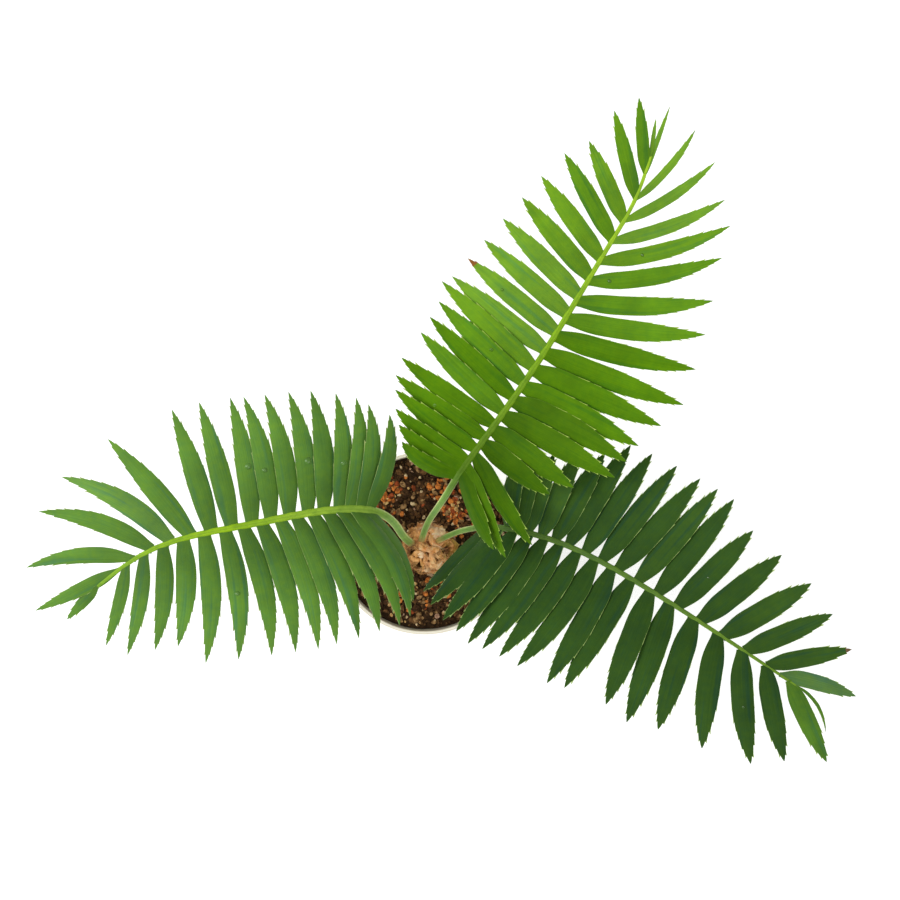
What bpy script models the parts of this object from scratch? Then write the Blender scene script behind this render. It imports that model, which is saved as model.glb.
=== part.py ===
"""Potted giant dioon: a young cycad with three arching fronds in a round pot.

Sizes below are in millimetres and angles in degrees. The pot's underside is at
z = 0, its axis is the origin, and +Y is the far side of the plant.
"""
import math
import random

import bpy
from mathutils import Vector

MM = 0.001
SEED = 5
GAP = 0.3

POT_HEIGHT = 130.0
POT_RIM_RADIUS = 75.0
POT_RIM_WALL = 4.0
POT_BAND_HEIGHT = 17.0
POT_BAND_STEP = 1.6
POT_WALL = 3.2
POT_FOOT_RADIUS = 53.0
POT_FLOOR = 4.0
POT_FOOT_BEVEL = 2.5
POT_INNER_CORNER = 3.0
POT_BAND_TAPER = 0.4
POT_BAND_EDGE = 1.0
POT_BAND_UNDERCUT = 0.8
POT_SEGMENTS = 36
DRAIN_HOLES = 4
DRAIN_RADIUS = 4.5
DRAIN_CIRCLE = 30.0
DRAIN_SIDES = 12
DRAIN_OVERRUN = 2.0

SOIL_LEVEL = 118.0
SOIL_RINGS = (28, 38, 48, 58)
SOIL_EDGE = 2.0
SOIL_EDGE_DROP = 1.5
SOIL_CLEARANCE = 0.5
SOIL_CORNER = 4.0
SOIL_RELIEF = 1.3

CAUDEX_CENTRE = (4.0, -5.0)
CAUDEX_RADIUS = 19.0
CAUDEX_HEIGHT = 24.0
CAUDEX_FLARE = 2.0
CAUDEX_SIDES = 22
CAUDEX_RINGS = 9
CAUDEX_RELIEF = 0.7
SCALE_COUNT = 26
SCALE_LENGTH = 10.0
SCALE_WIDTH = 6.5
SCALE_THICK = 1.8
SCALE_FIRST = 0.28
SCALE_SPREAD = 0.62
SCALE_CLEARANCE = 6.5
SCALE_CLEARANCE_REACH = 24
GOLDEN_ANGLE = 137.508

STALK_SIDES = 8
STALK_BASE_RADIUS = 2.5
STALK_BASE_SWELL = 0.4
STALK_SINK = 3.5
SOCKET_TOP = 22.0
STALK_SWELL_LENGTH = 9.0
RIB_START_RADIUS = 2.7
RIB_END_RADIUS = 1.1
RIB_SIDES = 6
STATION_STEP = 10.0

LEAFLET_THICK = 1.15
LEAFLET_ROOT = 0.5
SLANTED_ROOT = 0.3
LEAFLET_ROOT_SPAN = 0.22
LEAFLET_TAPER_FROM = 0.38
LEAFLET_TAPER_POWER = 1.7
LEAFLET_STATIONS = (0.0, 0.1, 0.25, 0.46, 0.66, 0.84, 1.0)
FIRST_SPINE_STATION = 2
SPINE_HEIGHT = 1.5
SPINE_NOTCH = 0.012
LAST_SINK = 1.5
LEAFLET_DROOP = 0.08

# A frond is a line of points from the crown to the rib's end, the length of its
# bare stalk, and two rows of leaflets. Each row gives its count and, as pairs of
# leaflet number and value, the place along the line, the sweep from the rib's
# direction, the reach, how far the leaflet is set up out of the frond's face, how
# far it bows back as a part of its reach, and its half width.
FRONDS = {
    "left": {
        "line": ((-10, 0, 135), (-17, 12, 200), (-27, 27, 250), (-38, 32, 268), (-60, 33, 280),
                 (-122, 23, 293), (-195, 4, 299), (-235, -23, 290)),
        "stalk": 134,
        "rows": {
            "right": {
                "count": 16,
                "place": ((0, 142), (3, 167), (5, 190), (8, 231), (15, 334)),
                "sweep": ((0, 78), (2, 88), (9, 86), (10, 83), (11, 64), (12, 50), (13, 44), (15, 10)),
                "reach": ((0, 78), (4, 89), (9, 95), (12, 92), (14, 81), (15, 73)),
                "set": ((0, 18), (4, 9), (15, 14)),
                "bend": ((0, 0.16), (3, 0.07), (8, 0.03), (9, 0.0), (11, 0.01), (12, 0.11),
                         (14, 0.08), (15, -0.01)),
                "width": ((0, 7.4), (4, 8.0), (12, 7.5), (15, 5.2)),
            },
            "left": {
                "count": 15,
                "place": ((0, 144), (4, 187), (6, 211), (9, 251), (14, 327)),
                "sweep": ((0, 107), (2, 106), (5, 95), (8, 91), (10, 79), (12, 67), (14, 43)),
                "reach": ((0, 76), (1, 91), (2, 98), (6, 101), (10, 95), (11, 79), (13, 74), (14, 61)),
                "set": ((0, 36), (4, 18), (14, 14)),
                "bend": ((0, 0.12), (4, 0.06), (12, 0.05), (14, 0.03)),
                "width": ((0, 9.0), (4, 8.0), (11, 7.4), (14, 5.0)),
            },
        },
        "last": {"sweep": -7, "reach": 37, "set": 14, "bend": 0.0, "width": 4.2},
        "color": (0.115, 0.245, 0.050),
    },
    "top": {
        "line": ((-2.5, 2, 138), (5, 22, 196), (17, 41, 242), (28, 59, 264), (45, 83, 281),
                 (85, 141, 305), (135, 224, 329), (150, 251, 334), (161, 282, 337)),
        "stalk": 133,
        "rows": {
            "left": {
                "count": 20,
                "place": ((0, 140), (2, 157), (6, 205), (9, 245), (17, 367), (19, 403)),
                "sweep": ((0, 67), (2, 77), (4, 86), (5, 85), (6, 77), (9, 77), (10, 81), (12, 77),
                          (15, 66), (17, 54), (19, 24)),
                "reach": ((0, 60), (3, 77), (5, 85), (8, 87), (9, 93), (10, 87), (14, 76), (16, 71),
                          (17, 62), (18, 63), (19, 53)),
                "set": ((0, 30), (4, 12), (19, 14)),
                "bend": ((0, 0.08), (3, 0.03), (8, 0.01), (19, 0.0)),
                "width": ((0, 7.2), (4, 7.9), (14, 7.0), (17, 5.8), (19, 4.4)),
            },
            "right": {
                "count": 20,
                "place": ((0, 145), (2, 154), (4, 176), (8, 229), (13, 302), (19, 399)),
                "sweep": ((0, 101), (2, 109), (3, 101), (4, 83), (5, 83), (6, 78), (8, 79), (10, 75),
                          (13, 58), (14, 49), (16, 39), (18, 16), (19, 1)),
                "reach": ((0, 63), (1, 66), (2, 76), (3, 81), (4, 65), (5, 76), (6, 97), (8, 97),
                          (10, 108), (13, 97), (15, 93), (17, 72), (19, 52)),
                "set": ((0, 40), (4, 18), (19, 12)),
                "bend": ((0, 0.05), (6, 0.0), (7, -0.02), (8, 0.0), (14, 0.05), (18, 0.05), (19, 0.0)),
                "width": ((0, 8.8), (4, 7.9), (14, 6.8), (15, 5.7), (17, 3.8), (19, 1.8)),
            },
        },
        "last": {"sweep": -9, "reach": 26, "set": 14, "bend": 0.0, "width": 2.4},
        "color": (0.110, 0.270, 0.020),
    },
    "right": {
        "line": ((10, 2, 140), (25, 11, 180), (38, 16, 212), (51, 18, 231), (89, 12, 252),
                 (159, -21, 277), (234, -69, 291), (273, -95, 288)),
        "stalk": 88,
        "rows": {
            "left": {
                "count": 17,
                "place": ((0, 119), (2, 135), (5, 168), (8, 209), (11, 260), (16, 356)),
                "sweep": ((0, 76), (2, 78), (4, 76), (6, 78), (8, 75), (10, 81), (12, 72), (14, 58),
                          (15, 46), (16, 18)),
                "reach": ((0, 57), (3, 71), (4, 77), (5, 90), (8, 93), (10, 91), (11, 80), (13, 76),
                          (16, 52)),
                "set": ((0, 24), (4, 10), (16, 14)),
                "bend": ((0, 0.04), (4, 0.02), (8, 0.0), (15, 0.0), (16, 0.03)),
                "width": ((0, 7.8), (4, 7.9), (13, 7.6), (16, 5.6)),
            },
            "right": {
                "count": 17,
                "place": ((0, 100), (5, 162), (8, 205), (11, 254), (16, 357)),
                "sweep": ((0, 124), (1, 114), (2, 109), (4, 104), (7, 95), (8, 87), (9, 88), (10, 78),
                          (12, 75), (13, 66), (14, 54), (15, 47), (16, 32)),
                "reach": ((0, 70), (2, 88), (4, 99), (8, 100), (10, 92), (11, 95), (12, 87), (14, 83),
                          (15, 71), (16, 66)),
                "set": ((0, 36), (4, 18), (16, 14)),
                "bend": ((0, 0.0), (4, 0.0), (7, -0.03), (9, 0.01), (11, 0.0), (14, 0.03), (16, 0.0)),
                "width": ((0, 9.2), (4, 8.2), (14, 7.6), (16, 6.4)),
            },
        },
        "last": {"sweep": 24, "reach": 41, "set": 14, "bend": -0.12, "width": 1.4},
        "color": (0.040, 0.100, 0.022),
    },
}
SIDE_SIGN = {"left": -1, "right": 1}

# Pairs of the rib's slope and how far a leaflet's forward edge is turned up.
TWIST = ((18, 10), (45, -4))


def material(name, color, roughness):
    """A Principled material with one colour and roughness."""
    mat = bpy.data.materials.new(name)
    mat.use_nodes = True
    shader = mat.node_tree.nodes["Principled BSDF"]
    shader.inputs["Base Color"].default_value = (*color, 1.0)
    shader.inputs["Roughness"].default_value = roughness
    shader.inputs["Metallic"].default_value = 0.0
    return mat


def solid(name, points, faces, mat, smooth=False):
    """Makes one named object from points in millimetres."""
    mesh = bpy.data.meshes.new(name)
    mesh.from_pydata([Vector(p) * MM for p in points], [], faces)
    mesh.materials.append(mat)
    mesh.validate()
    obj = bpy.data.objects.new(name, mesh)
    bpy.context.scene.collection.objects.link(obj)
    if smooth:
        mesh.shade_smooth()
        mesh.set_sharp_from_angle(angle=math.radians(40))
    return obj


def between(pairs, where):
    """The value at a place on the straight runs between pairs of place and value."""
    if where <= pairs[0][0]:
        return pairs[0][1]
    for (low, first), (high, second) in zip(pairs, pairs[1:]):
        if where <= high:
            return first + (second - first) * (where - low) / (high - low)
    return pairs[-1][1]


class Line:
    """A smooth natural cubic curve through points, read by length along it."""

    def __init__(self, points, samples=400):
        points = [Vector(p) for p in points]
        spans = [(b - a).length for a, b in zip(points, points[1:])]
        bends = self.second_derivatives(points, spans)
        self.places = []
        for index in range(len(spans)):
            steps = max(2, round(samples * spans[index] / sum(spans)))
            for step in range(steps):
                self.places.append(self.inside(points, spans, bends, index, step / steps))
        self.places.append(points[-1])
        self.lengths = [0.0]
        for a, b in zip(self.places, self.places[1:]):
            self.lengths.append(self.lengths[-1] + (b - a).length)
        self.length = self.lengths[-1]

    @staticmethod
    def second_derivatives(points, spans):
        """Solves the spline's tridiagonal system from one end to the other."""
        count = len(points)
        upper = [0.0] * count
        right = [Vector((0, 0, 0)) for _ in points]
        for i in range(1, count - 1):
            slope = (points[i + 1] - points[i]) / spans[i] - (points[i] - points[i - 1]) / spans[i - 1]
            pivot = 2 * (spans[i - 1] + spans[i]) - spans[i - 1] * upper[i - 1]
            upper[i] = spans[i] / pivot
            right[i] = (6 * slope - spans[i - 1] * right[i - 1]) / pivot
        bends = [Vector((0, 0, 0)) for _ in points]
        for i in range(count - 2, 0, -1):
            bends[i] = right[i] - upper[i] * bends[i + 1]
        return bends

    @staticmethod
    def inside(points, spans, bends, i, part):
        """The point at a part of one span."""
        span = spans[i]
        after = part * span
        before = span - after
        curved = (bends[i] * before ** 3 + bends[i + 1] * after ** 3) / (6 * span)
        low = (points[i] / span - bends[i] * span / 6) * before
        return curved + low + (points[i + 1] / span - bends[i + 1] * span / 6) * after

    def at(self, length):
        """The point at a length along the curve, which runs on straight past its ends."""
        if length < 0:
            return self.places[0] + (self.places[1] - self.places[0]).normalized() * length
        if length > self.length:
            end = (self.places[-1] - self.places[-2]).normalized()
            return self.places[-1] + end * (length - self.length)
        low, high = 0, len(self.lengths) - 1
        while high - low > 1:
            middle = (low + high) // 2
            if self.lengths[middle] <= length:
                low = middle
            else:
                high = middle
        part = (length - self.lengths[low]) / (self.lengths[high] - self.lengths[low])
        return self.places[low].lerp(self.places[high], part)

    def axes(self, length):
        """Forward, rightward and upward unit directions at a length."""
        forward = (self.at(length + 1.0) - self.at(length - 1.0)).normalized()
        upward = Vector((0, 0, 1))
        upward = (upward - upward.dot(forward) * forward).normalized()
        return forward, forward.cross(upward), upward


def turned(name, profile, segments, mat, centre=(0.0, 0.0), shift=None):
    """A closed turned solid: its profile of radius and height runs from axis to axis,
    down its outer side. shift(angle, ring, radius, height) moves a point."""
    points, rings = [], []
    for ring, (radius, height) in enumerate(profile):
        if radius == 0:
            rings.append([len(points)])
            points.append((centre[0], centre[1], height))
            continue
        rings.append(list(range(len(points), len(points) + segments)))
        for k in range(segments):
            angle = math.tau * k / segments
            r, z = shift(angle, ring, radius, height) if shift else (radius, height)
            points.append((centre[0] + r * math.cos(angle), centre[1] + r * math.sin(angle), z))
    faces = []
    for above, below in zip(rings, rings[1:]):
        for k in range(segments):
            n = (k + 1) % segments
            if len(above) == 1:
                faces.append((above[0], below[k], below[n]))
            elif len(below) == 1:
                faces.append((above[k], below[0], above[n]))
            else:
                faces.append((above[k], below[k], below[n], above[n]))
    return solid(name, points, faces, mat, smooth=True)


def tube(name, line, start, end, radius, sides, step, mat, grow=0.0):
    """A round tapering limb along a line, closed by flat ends."""
    count = max(2, round((end - start) / step) + 1)
    points, faces = [], []
    for i in range(count):
        length = start + (end - start) * i / (count - 1)
        centre = line.at(length)
        forward, rightward, upward = line.axes(length)
        reach = radius(length) + grow
        for k in range(sides):
            angle = math.tau * (k + 0.5) / sides
            points.append(centre + reach * (math.cos(angle) * rightward + math.sin(angle) * upward))
    for i in range(count - 1):
        for k in range(sides):
            n = (k + 1) % sides
            a, b = i * sides, (i + 1) * sides
            faces.append((a + k, b + k, b + n, a + n))
    faces.append(tuple(range(sides)))
    faces.append(tuple(reversed(range((count - 1) * sides, count * sides))))
    return solid(name, points, faces, mat, smooth=True)


def join(body, others, operation="UNION"):
    """Joins the other solids to the body, or cuts them out of it, by one Boolean."""
    group = bpy.data.collections.new("joining")
    bpy.context.scene.collection.children.link(group)
    for obj in others:
        bpy.context.scene.collection.objects.unlink(obj)
        group.objects.link(obj)
    boolean = body.modifiers.new("join", "BOOLEAN")
    boolean.operand_type = "COLLECTION"
    boolean.operation = operation
    boolean.collection = group
    bpy.context.view_layer.objects.active = body
    bpy.ops.object.modifier_apply(modifier=boolean.name)
    for obj in others:
        bpy.data.objects.remove(obj)
    bpy.data.collections.remove(group)
    return body


def leaflet_width(part, root):
    """Half width from 0 to 1 at a part of the length: it opens out of a narrow root,
    stays broad, and tapers to a point."""
    opened = math.sin(min(part / LEAFLET_ROOT_SPAN, 1.0) * math.pi / 2)
    taper = max(part - LEAFLET_TAPER_FROM, 0.0) / (1.0 - LEAFLET_TAPER_FROM)
    return (root + (1 - root) * opened) * (1 - taper ** LEAFLET_TAPER_POWER)


def leaflet_place(line, length, sign, look):
    """A function that gives a point of one leaflet's blade from the part of its
    length, the millimetres across it and the millimetres out of its face."""
    forward, rightward, upward = line.axes(length)
    twist = between(TWIST, math.degrees(math.asin(forward.z)))
    sweep, lift, twist = (math.radians(angle) for angle in (look["sweep"], look["set"], twist))
    outward = math.cos(lift) * sign * rightward + math.sin(lift) * upward
    along = math.cos(sweep) * forward + math.sin(sweep) * outward
    ahead = math.sin(sweep) * forward - math.cos(sweep) * outward
    flat_face = sign * along.cross(ahead)
    across = math.cos(twist) * ahead + math.sin(twist) * flat_face
    face = math.cos(twist) * flat_face - math.sin(twist) * ahead
    root = line.at(length)
    reach = look["reach"]

    def place(part, side, above):
        bow = look["bend"] * 4 * part * (1 - part)
        centre = root + reach * (part * along - bow * ahead)
        drop = Vector((0, 0, LEAFLET_DROOP * reach * part ** 2))
        return centre - drop + side * across + above * face
    return place


def leaflet_rim(look):
    """The right half of a leaflet's outline as parts of its length and millimetres
    across: forward spines stand out where the blade is past its broadest. A leaflet
    that leans along the rib has a narrower root."""
    root = LEAFLET_ROOT * max(math.sin(math.radians(look["sweep"])), SLANTED_ROOT)
    rim = []
    for i, part in enumerate(LEAFLET_STATIONS[:-1]):
        half = look["width"] * leaflet_width(part, root)
        if i > FIRST_SPINE_STATION:
            rim.append((part, half + SPINE_HEIGHT))
            part += SPINE_NOTCH
        rim.append((part, half))
    return rim


def leaflet(name, line, length, sign, look, mat):
    """One thin pointed leaflet, closed all round its toothed outline."""
    place = leaflet_place(line, length, sign, look)
    half = leaflet_rim(look)
    one_side = len(half)
    rim = half + [(1.0, 0.0)] + [(part, -side) for part, side in reversed(half)]
    count = len(rim)
    points = [place(part, side, LEAFLET_THICK / 2) for part, side in rim]
    points += [place(part, side, -LEAFLET_THICK / 2) for part, side in rim]
    strips = [(i, i + 1, count - 2 - i, count - 1 - i) for i in range(one_side - 1)]
    strips.append((one_side - 1, one_side, one_side + 1))
    faces = strips + [tuple(count + v for v in reversed(strip)) for strip in strips]
    faces += [(i, count + i, count + (i + 1) % count, (i + 1) % count) for i in range(count)]
    if sign < 0:
        faces = [tuple(reversed(face)) for face in faces]
    return solid(name, points, faces, mat)


def leaflets_of(spec):
    """Every leaflet of a frond: its row, number, place, side and look."""
    for row, keys in spec["rows"].items():
        for number in range(keys["count"]):
            look = {key: between(keys[key], number)
                    for key in ("sweep", "reach", "set", "bend", "width")}
            yield row, number, between(keys["place"], number), SIDE_SIGN[row], look


def rib_radius(spec, line):
    """The rib's radius along the blade: it stays thick, then tapers as a parabola."""
    start = spec["stalk"]

    def radius(length):
        part = (length - start) / (line.length - start)
        return RIB_START_RADIUS + (RIB_END_RADIUS - RIB_START_RADIUS) * max(part, 0.0) ** 2
    return radius


def stalk_radius(spec):
    """The bare stalk's radius: a swollen foot, then an even taper to the blade."""
    def radius(length):
        even = STALK_BASE_RADIUS + (RIB_START_RADIUS - STALK_BASE_RADIUS) * length / spec["stalk"]
        return even + STALK_BASE_SWELL * math.exp(-max(length, 0.0) / STALK_SWELL_LENGTH)
    return radius


def blade(side, spec, line, mat):
    """A frond's blade: the rib with both rows of leaflets and the one at its end."""
    name = "frond_" + side
    start = spec["stalk"] + GAP
    rib = tube(name, line, start, line.length, rib_radius(spec, line), RIB_SIDES, STATION_STEP, mat)
    leaflets = [leaflet(f"{name}_{row}_{number}", line, length, sign, look, mat)
                for row, number, length, sign, look in leaflets_of(spec)]
    leaflets.append(leaflet(name + "_last", line, line.length - LAST_SINK, 1, spec["last"], mat))
    return join(rib, leaflets)


def pot(mat):
    """The pot: a tapered cup with a band round its rim and drain holes in its floor."""
    def outer(height):
        top = POT_RIM_RADIUS - POT_BAND_STEP
        return POT_FOOT_RADIUS + (top - POT_FOOT_RADIUS) * height / POT_HEIGHT

    band = POT_HEIGHT - POT_BAND_HEIGHT
    lip = POT_RIM_WALL / 2
    inner_rim = POT_RIM_RADIUS - POT_RIM_WALL
    profile = [(0, POT_FLOOR), (outer(POT_FLOOR) - POT_WALL - POT_INNER_CORNER, POT_FLOOR),
               (outer(POT_FLOOR) - POT_WALL, POT_FLOOR + POT_INNER_CORNER),
               (outer(band) - POT_WALL, band),
               (inner_rim, POT_HEIGHT - lip)]
    profile += [(inner_rim + lip * (1 - math.cos(a)), POT_HEIGHT - lip + lip * math.sin(a))
                for a in (math.pi / 4, math.pi / 2, math.pi * 3 / 4)]
    profile += [(POT_RIM_RADIUS, POT_HEIGHT - lip),
                (POT_RIM_RADIUS - POT_BAND_TAPER, band + POT_BAND_EDGE),
                (POT_RIM_RADIUS - POT_BAND_EDGE, band), (outer(band), band - POT_BAND_UNDERCUT),
                (outer(POT_FOOT_BEVEL), POT_FOOT_BEVEL), (POT_FOOT_RADIUS - POT_FOOT_BEVEL, 0),
                (0, 0)]
    body = turned("pot", profile, POT_SEGMENTS, mat)
    holes = []
    for k in range(DRAIN_HOLES):
        angle = math.tau * (k + 0.5) / DRAIN_HOLES
        centre = (DRAIN_CIRCLE * math.cos(angle), DRAIN_CIRCLE * math.sin(angle))
        top, low = POT_FLOOR + DRAIN_OVERRUN, -DRAIN_OVERRUN
        cut = [(0, top), (DRAIN_RADIUS, top), (DRAIN_RADIUS, low), (0, low)]
        holes.append(turned(f"drain_{k}", cut, DRAIN_SIDES, mat, centre))
    return join(body, holes, "DIFFERENCE")


def soil(mat):
    """The soil that fills the pot, with a low uneven surface round the caudex."""
    draw = random.Random(SEED)
    band = POT_HEIGHT - POT_BAND_HEIGHT
    top_outer = POT_RIM_RADIUS - POT_BAND_STEP
    slope = (top_outer - POT_FOOT_RADIUS) / POT_HEIGHT

    def inner(height):
        return POT_FOOT_RADIUS + slope * height - POT_WALL - SOIL_CLEARANCE

    wall = inner(band - 1)
    rings = (*SOIL_RINGS, wall - SOIL_EDGE)
    low = POT_FLOOR + SOIL_CORNER
    profile = [(0, SOIL_LEVEL)] + [(r, SOIL_LEVEL) for r in rings]
    profile += [(wall, SOIL_LEVEL - SOIL_EDGE_DROP), (wall, band - POT_BAND_EDGE),
                (inner(low), low), (inner(POT_FLOOR) - SOIL_CORNER, POT_FLOOR + GAP),
                (0, POT_FLOOR + GAP)]
    uneven = range(2, 1 + len(rings))

    def shift(angle, ring, radius, height):
        if ring in uneven:
            height += draw.uniform(-SOIL_RELIEF, SOIL_RELIEF)
        return radius, height

    return turned("soil", profile, POT_SEGMENTS, mat, shift=shift)


def caudex_profile(part):
    """Radius and height of the caudex at a part of the way from crown to soil."""
    turn = part * math.pi / 2
    flare = CAUDEX_FLARE * max(0.0, (part - 0.75) / 0.25) ** 2
    low = SOIL_LEVEL + GAP
    return CAUDEX_RADIUS * math.sin(turn) ** 0.75 + flare, low + CAUDEX_HEIGHT * math.cos(turn) ** 0.8


def caudex(lines, mat):
    """The caudex: a squat woolly bulb, flat where it meets the soil, set with
    pointed scales in a spiral and cut out where the stalks stand in its crown."""
    low = SOIL_LEVEL + GAP
    profile = [(0, low + CAUDEX_HEIGHT)]
    profile += [caudex_profile(i / CAUDEX_RINGS) for i in range(1, CAUDEX_RINGS)]
    profile += [(CAUDEX_RADIUS + CAUDEX_FLARE, low), (0, low)]

    def shift(angle, ring, radius, height):
        wave = math.sin(5 * angle + 1.7 * ring) + 0.6 * math.sin(8 * angle - 2.3 * ring)
        return radius + (CAUDEX_RELIEF * wave if ring <= CAUDEX_RINGS else 0.0), height

    body = turned("caudex", profile, CAUDEX_SIDES, mat, CAUDEX_CENTRE, shift)
    scales = []
    for k in range(SCALE_COUNT):
        part = SCALE_FIRST + SCALE_SPREAD * (k / SCALE_COUNT) ** 0.8
        angle = math.radians(GOLDEN_ANGLE * k)
        scale = scale_points(part, angle)
        if all(clear_of(line, scale[-1]) and clear_of(line, scale[0]) for line in lines):
            scales.append(scale_solid(f"scale_{k}", scale, angle, mat))
    join(body, scales)
    sockets = [tube(f"socket_{i}", line, -STALK_SINK - GAP, SOCKET_TOP, radius, STALK_SIDES,
                    STATION_STEP, mat, grow=GAP)
               for i, (line, radius) in enumerate(lines.items())]
    return join(body, sockets, "DIFFERENCE")


def clear_of(line, point):
    """True where a scale's point stays off a stalk."""
    near = (line.at(s) for s in range(0, SCALE_CLEARANCE_REACH, 3))
    return min((place - point).length for place in near) > SCALE_CLEARANCE


def scale_points(part, angle):
    """Middle line of one scale, from inside the bulb out to its raised point."""
    radius, height = caudex_profile(part)
    radial = Vector((math.cos(angle), math.sin(angle), 0))
    centre = Vector((*CAUDEX_CENTRE, 0))
    lean = math.radians(75 - 55 * part)
    out = radial * math.cos(lean) + Vector((0, 0, math.sin(lean)))
    base = centre + radial * (radius - 3.0) + Vector((0, 0, height - 2.5))
    length = SCALE_LENGTH * (1.15 - 0.45 * part)
    return [base, base + out * length * 0.55, base + out * length + radial * 0.8]


def scale_solid(name, middle, angle, mat):
    """A flat pointed scale with a four-sided section."""
    sideways = Vector((-math.sin(angle), math.cos(angle), 0))
    along = (middle[-1] - middle[0]).normalized()
    outward = sideways.cross(along)
    points = []
    for centre, half in zip(middle, (0.5, 0.46)):
        for side, above in ((-1, 0), (0, -1), (1, 0), (0, 1)):
            points.append(centre + sideways * side * half * SCALE_WIDTH
                          + outward * above * SCALE_THICK * 0.6)
    points.append(middle[-1])
    faces = [(0, 1, 2, 3)]
    for k in range(4):
        n = (k + 1) % 4
        faces.append((k, k + 4, n + 4, n))
        faces.append((k + 4, 8, n + 4))
    return solid(name, points, faces, mat)


def main():
    """Builds the pot, soil, caudex, stalks and blades."""
    for obj in list(bpy.data.objects):
        bpy.data.objects.remove(obj)
    pot(material("white_glaze", (0.83, 0.83, 0.81), 0.35))
    soil(material("potting_bark", (0.045, 0.025, 0.017), 0.9))
    lines, blades = {}, []
    stalk_green = material("bloomed_stalk", (0.21, 0.31, 0.10), 0.55)
    for side, spec in FRONDS.items():
        line = Line(spec["line"])
        lines[line] = stalk_radius(spec)
        tube("petiole_" + side, line, -STALK_SINK, spec["stalk"], stalk_radius(spec),
             STALK_SIDES, STATION_STEP, stalk_green)
        blades.append((side, spec, line, material("blade_" + side, spec["color"], 0.45)))
    caudex(lines, material("tan_wool", (0.55, 0.36, 0.16), 0.9))
    for side, spec, line, mat in blades:
        blade(side, spec, line, mat)


main()
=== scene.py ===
"""Potted giant dioon: the looks of a young cycad in a plain round white pot.

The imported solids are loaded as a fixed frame, and finer pieces stand for them: toothed
leaflets on grooved ribs, bare stalks, a woolly caudex, loose bark and grit, and a thin
moulded pot. Sizes are in millimetres and angles in degrees. The pot's underside is at
z = 0, its axis is the origin, and +Y is the far side of the plant.
"""
import math

import bmesh
import bpy
import numpy as np
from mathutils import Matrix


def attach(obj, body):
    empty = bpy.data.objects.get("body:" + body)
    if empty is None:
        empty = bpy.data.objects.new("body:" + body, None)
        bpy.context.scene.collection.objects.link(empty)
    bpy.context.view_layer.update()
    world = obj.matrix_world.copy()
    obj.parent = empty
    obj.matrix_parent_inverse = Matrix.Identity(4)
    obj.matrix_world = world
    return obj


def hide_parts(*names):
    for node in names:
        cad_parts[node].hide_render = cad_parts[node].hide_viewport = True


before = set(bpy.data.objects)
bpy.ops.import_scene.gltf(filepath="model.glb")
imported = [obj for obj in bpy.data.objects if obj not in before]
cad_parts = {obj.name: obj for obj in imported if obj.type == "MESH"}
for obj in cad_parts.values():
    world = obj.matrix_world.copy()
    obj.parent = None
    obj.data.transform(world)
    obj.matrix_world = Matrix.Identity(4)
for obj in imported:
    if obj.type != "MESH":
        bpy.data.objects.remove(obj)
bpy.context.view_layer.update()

MM = 0.001
SEED = 11
UP = np.array([0.0, 0.0, 1.0])
BODY = "root"

# Sizes

POT_HEIGHT = 130.0
POT_RIM_RADIUS = 75.0
POT_BAND_RADIUS = 74.0
POT_BAND_FOOT = 112.6
POT_FOOT_RADIUS = 53.0
POT_TOP_RADIUS = 73.4
POT_LIP = 3.1
POT_WALL = 1.7
POT_FLOOR = 4.0
POT_SIDES = 192
DRAIN_HOLES = 4
DRAIN_RADIUS = 4.5
DRAIN_CIRCLE = 30.0

SOIL_LEVEL = 118.0
SOIL_RADIUS = 71.2
SOIL_UNDERSIDE = 4.3
SOIL_RINGS, SOIL_SIDES = 60, 180

CAUDEX_CENTRE = np.array([4.0, -5.0, 0.0])
CAUDEX_RADIUS = 19.0
CAUDEX_HEIGHT = 24.0
CAUDEX_FLARE = 2.0
CAUDEX_FOOT = 116.0
CAUDEX_RINGS, CAUDEX_SIDES = 110, 250
GOLDEN_ANGLE = math.radians(137.508)
LOBES = 32
SCALES = 24
# How light the wool is in places: the angle round the caudex, the part of the way from
# crown to foot, how far it spreads, and the tone, from 0 for a hollow painted dark as
# shade, through olive, tan and peach to 1 for cream.
CAUDEX_MARKS = (
    (65, 0.6, 7, 1), (100, 0.32, 5, 0.72), (119, 0.82, 3.5, 0.9), (135, 0.95, 6.5, 0.18),
    (152, 0.62, 5.5, 0.15), (181, 0.51, 5.6, 0), (215, 0.5, 4.5, 0.66), (237, 0.55, 4.6, 0),
    (245, 0.8, 5.6, 0), (261, 0.58, 2.8, 1), (-80, 0.28, 4, 0.8), (-49, 0.47, 5.5, 1),
    (-18, 0.74, 3.8, 0.35), (-2, 0.47, 5.6, 0), (22, 0.9, 5.5, 0.18),
)
# Where one husk's colour gives way to the next on the same scale of tones.
HUSK_STEPS = (0.12, 0.34, 0.56, 0.80)
# Scales that stand out in the photograph: the angle round the caudex, the part of the way
# from crown to foot, length, half width, lean outwards, curl, arch across, and husk.
MARKED_SCALES = (
    (62, 0.60, 13, 5.2, 0.12, 0.0, 2.2, 4), (9, 0.78, 10, 6.2, 3.0, -0.1, 4.5, 1),
    (335, 0.52, 6, 2.8, 0.7, 0.1, 1.0, 1), (113, 0.86, 8, 2.8, 1.2, 0.3, 1.0, 3),
    (134, 0.86, 8, 2.6, 1.4, 0.3, 1.0, 2), (152, 0.84, 8, 2.6, 1.2, 0.2, 1.0, 1),
)
TUFT_HAIRS, COLLAR_HAIRS = 34, 420
HAIR_RADIUS = 0.16

STALK_BASE_RADIUS = 2.5
STALK_BASE_SWELL = 0.4
STALK_SWELL_LENGTH = 9.0
STALK_SINK = 3.5
RIB_START_RADIUS = 2.7
RIB_END_RADIUS = 1.1
RIB_BREADTH = 1.05
LIMB_SIDES, LIMB_STEP = 24, 1.1
LAST_SINK = 1.5
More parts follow.
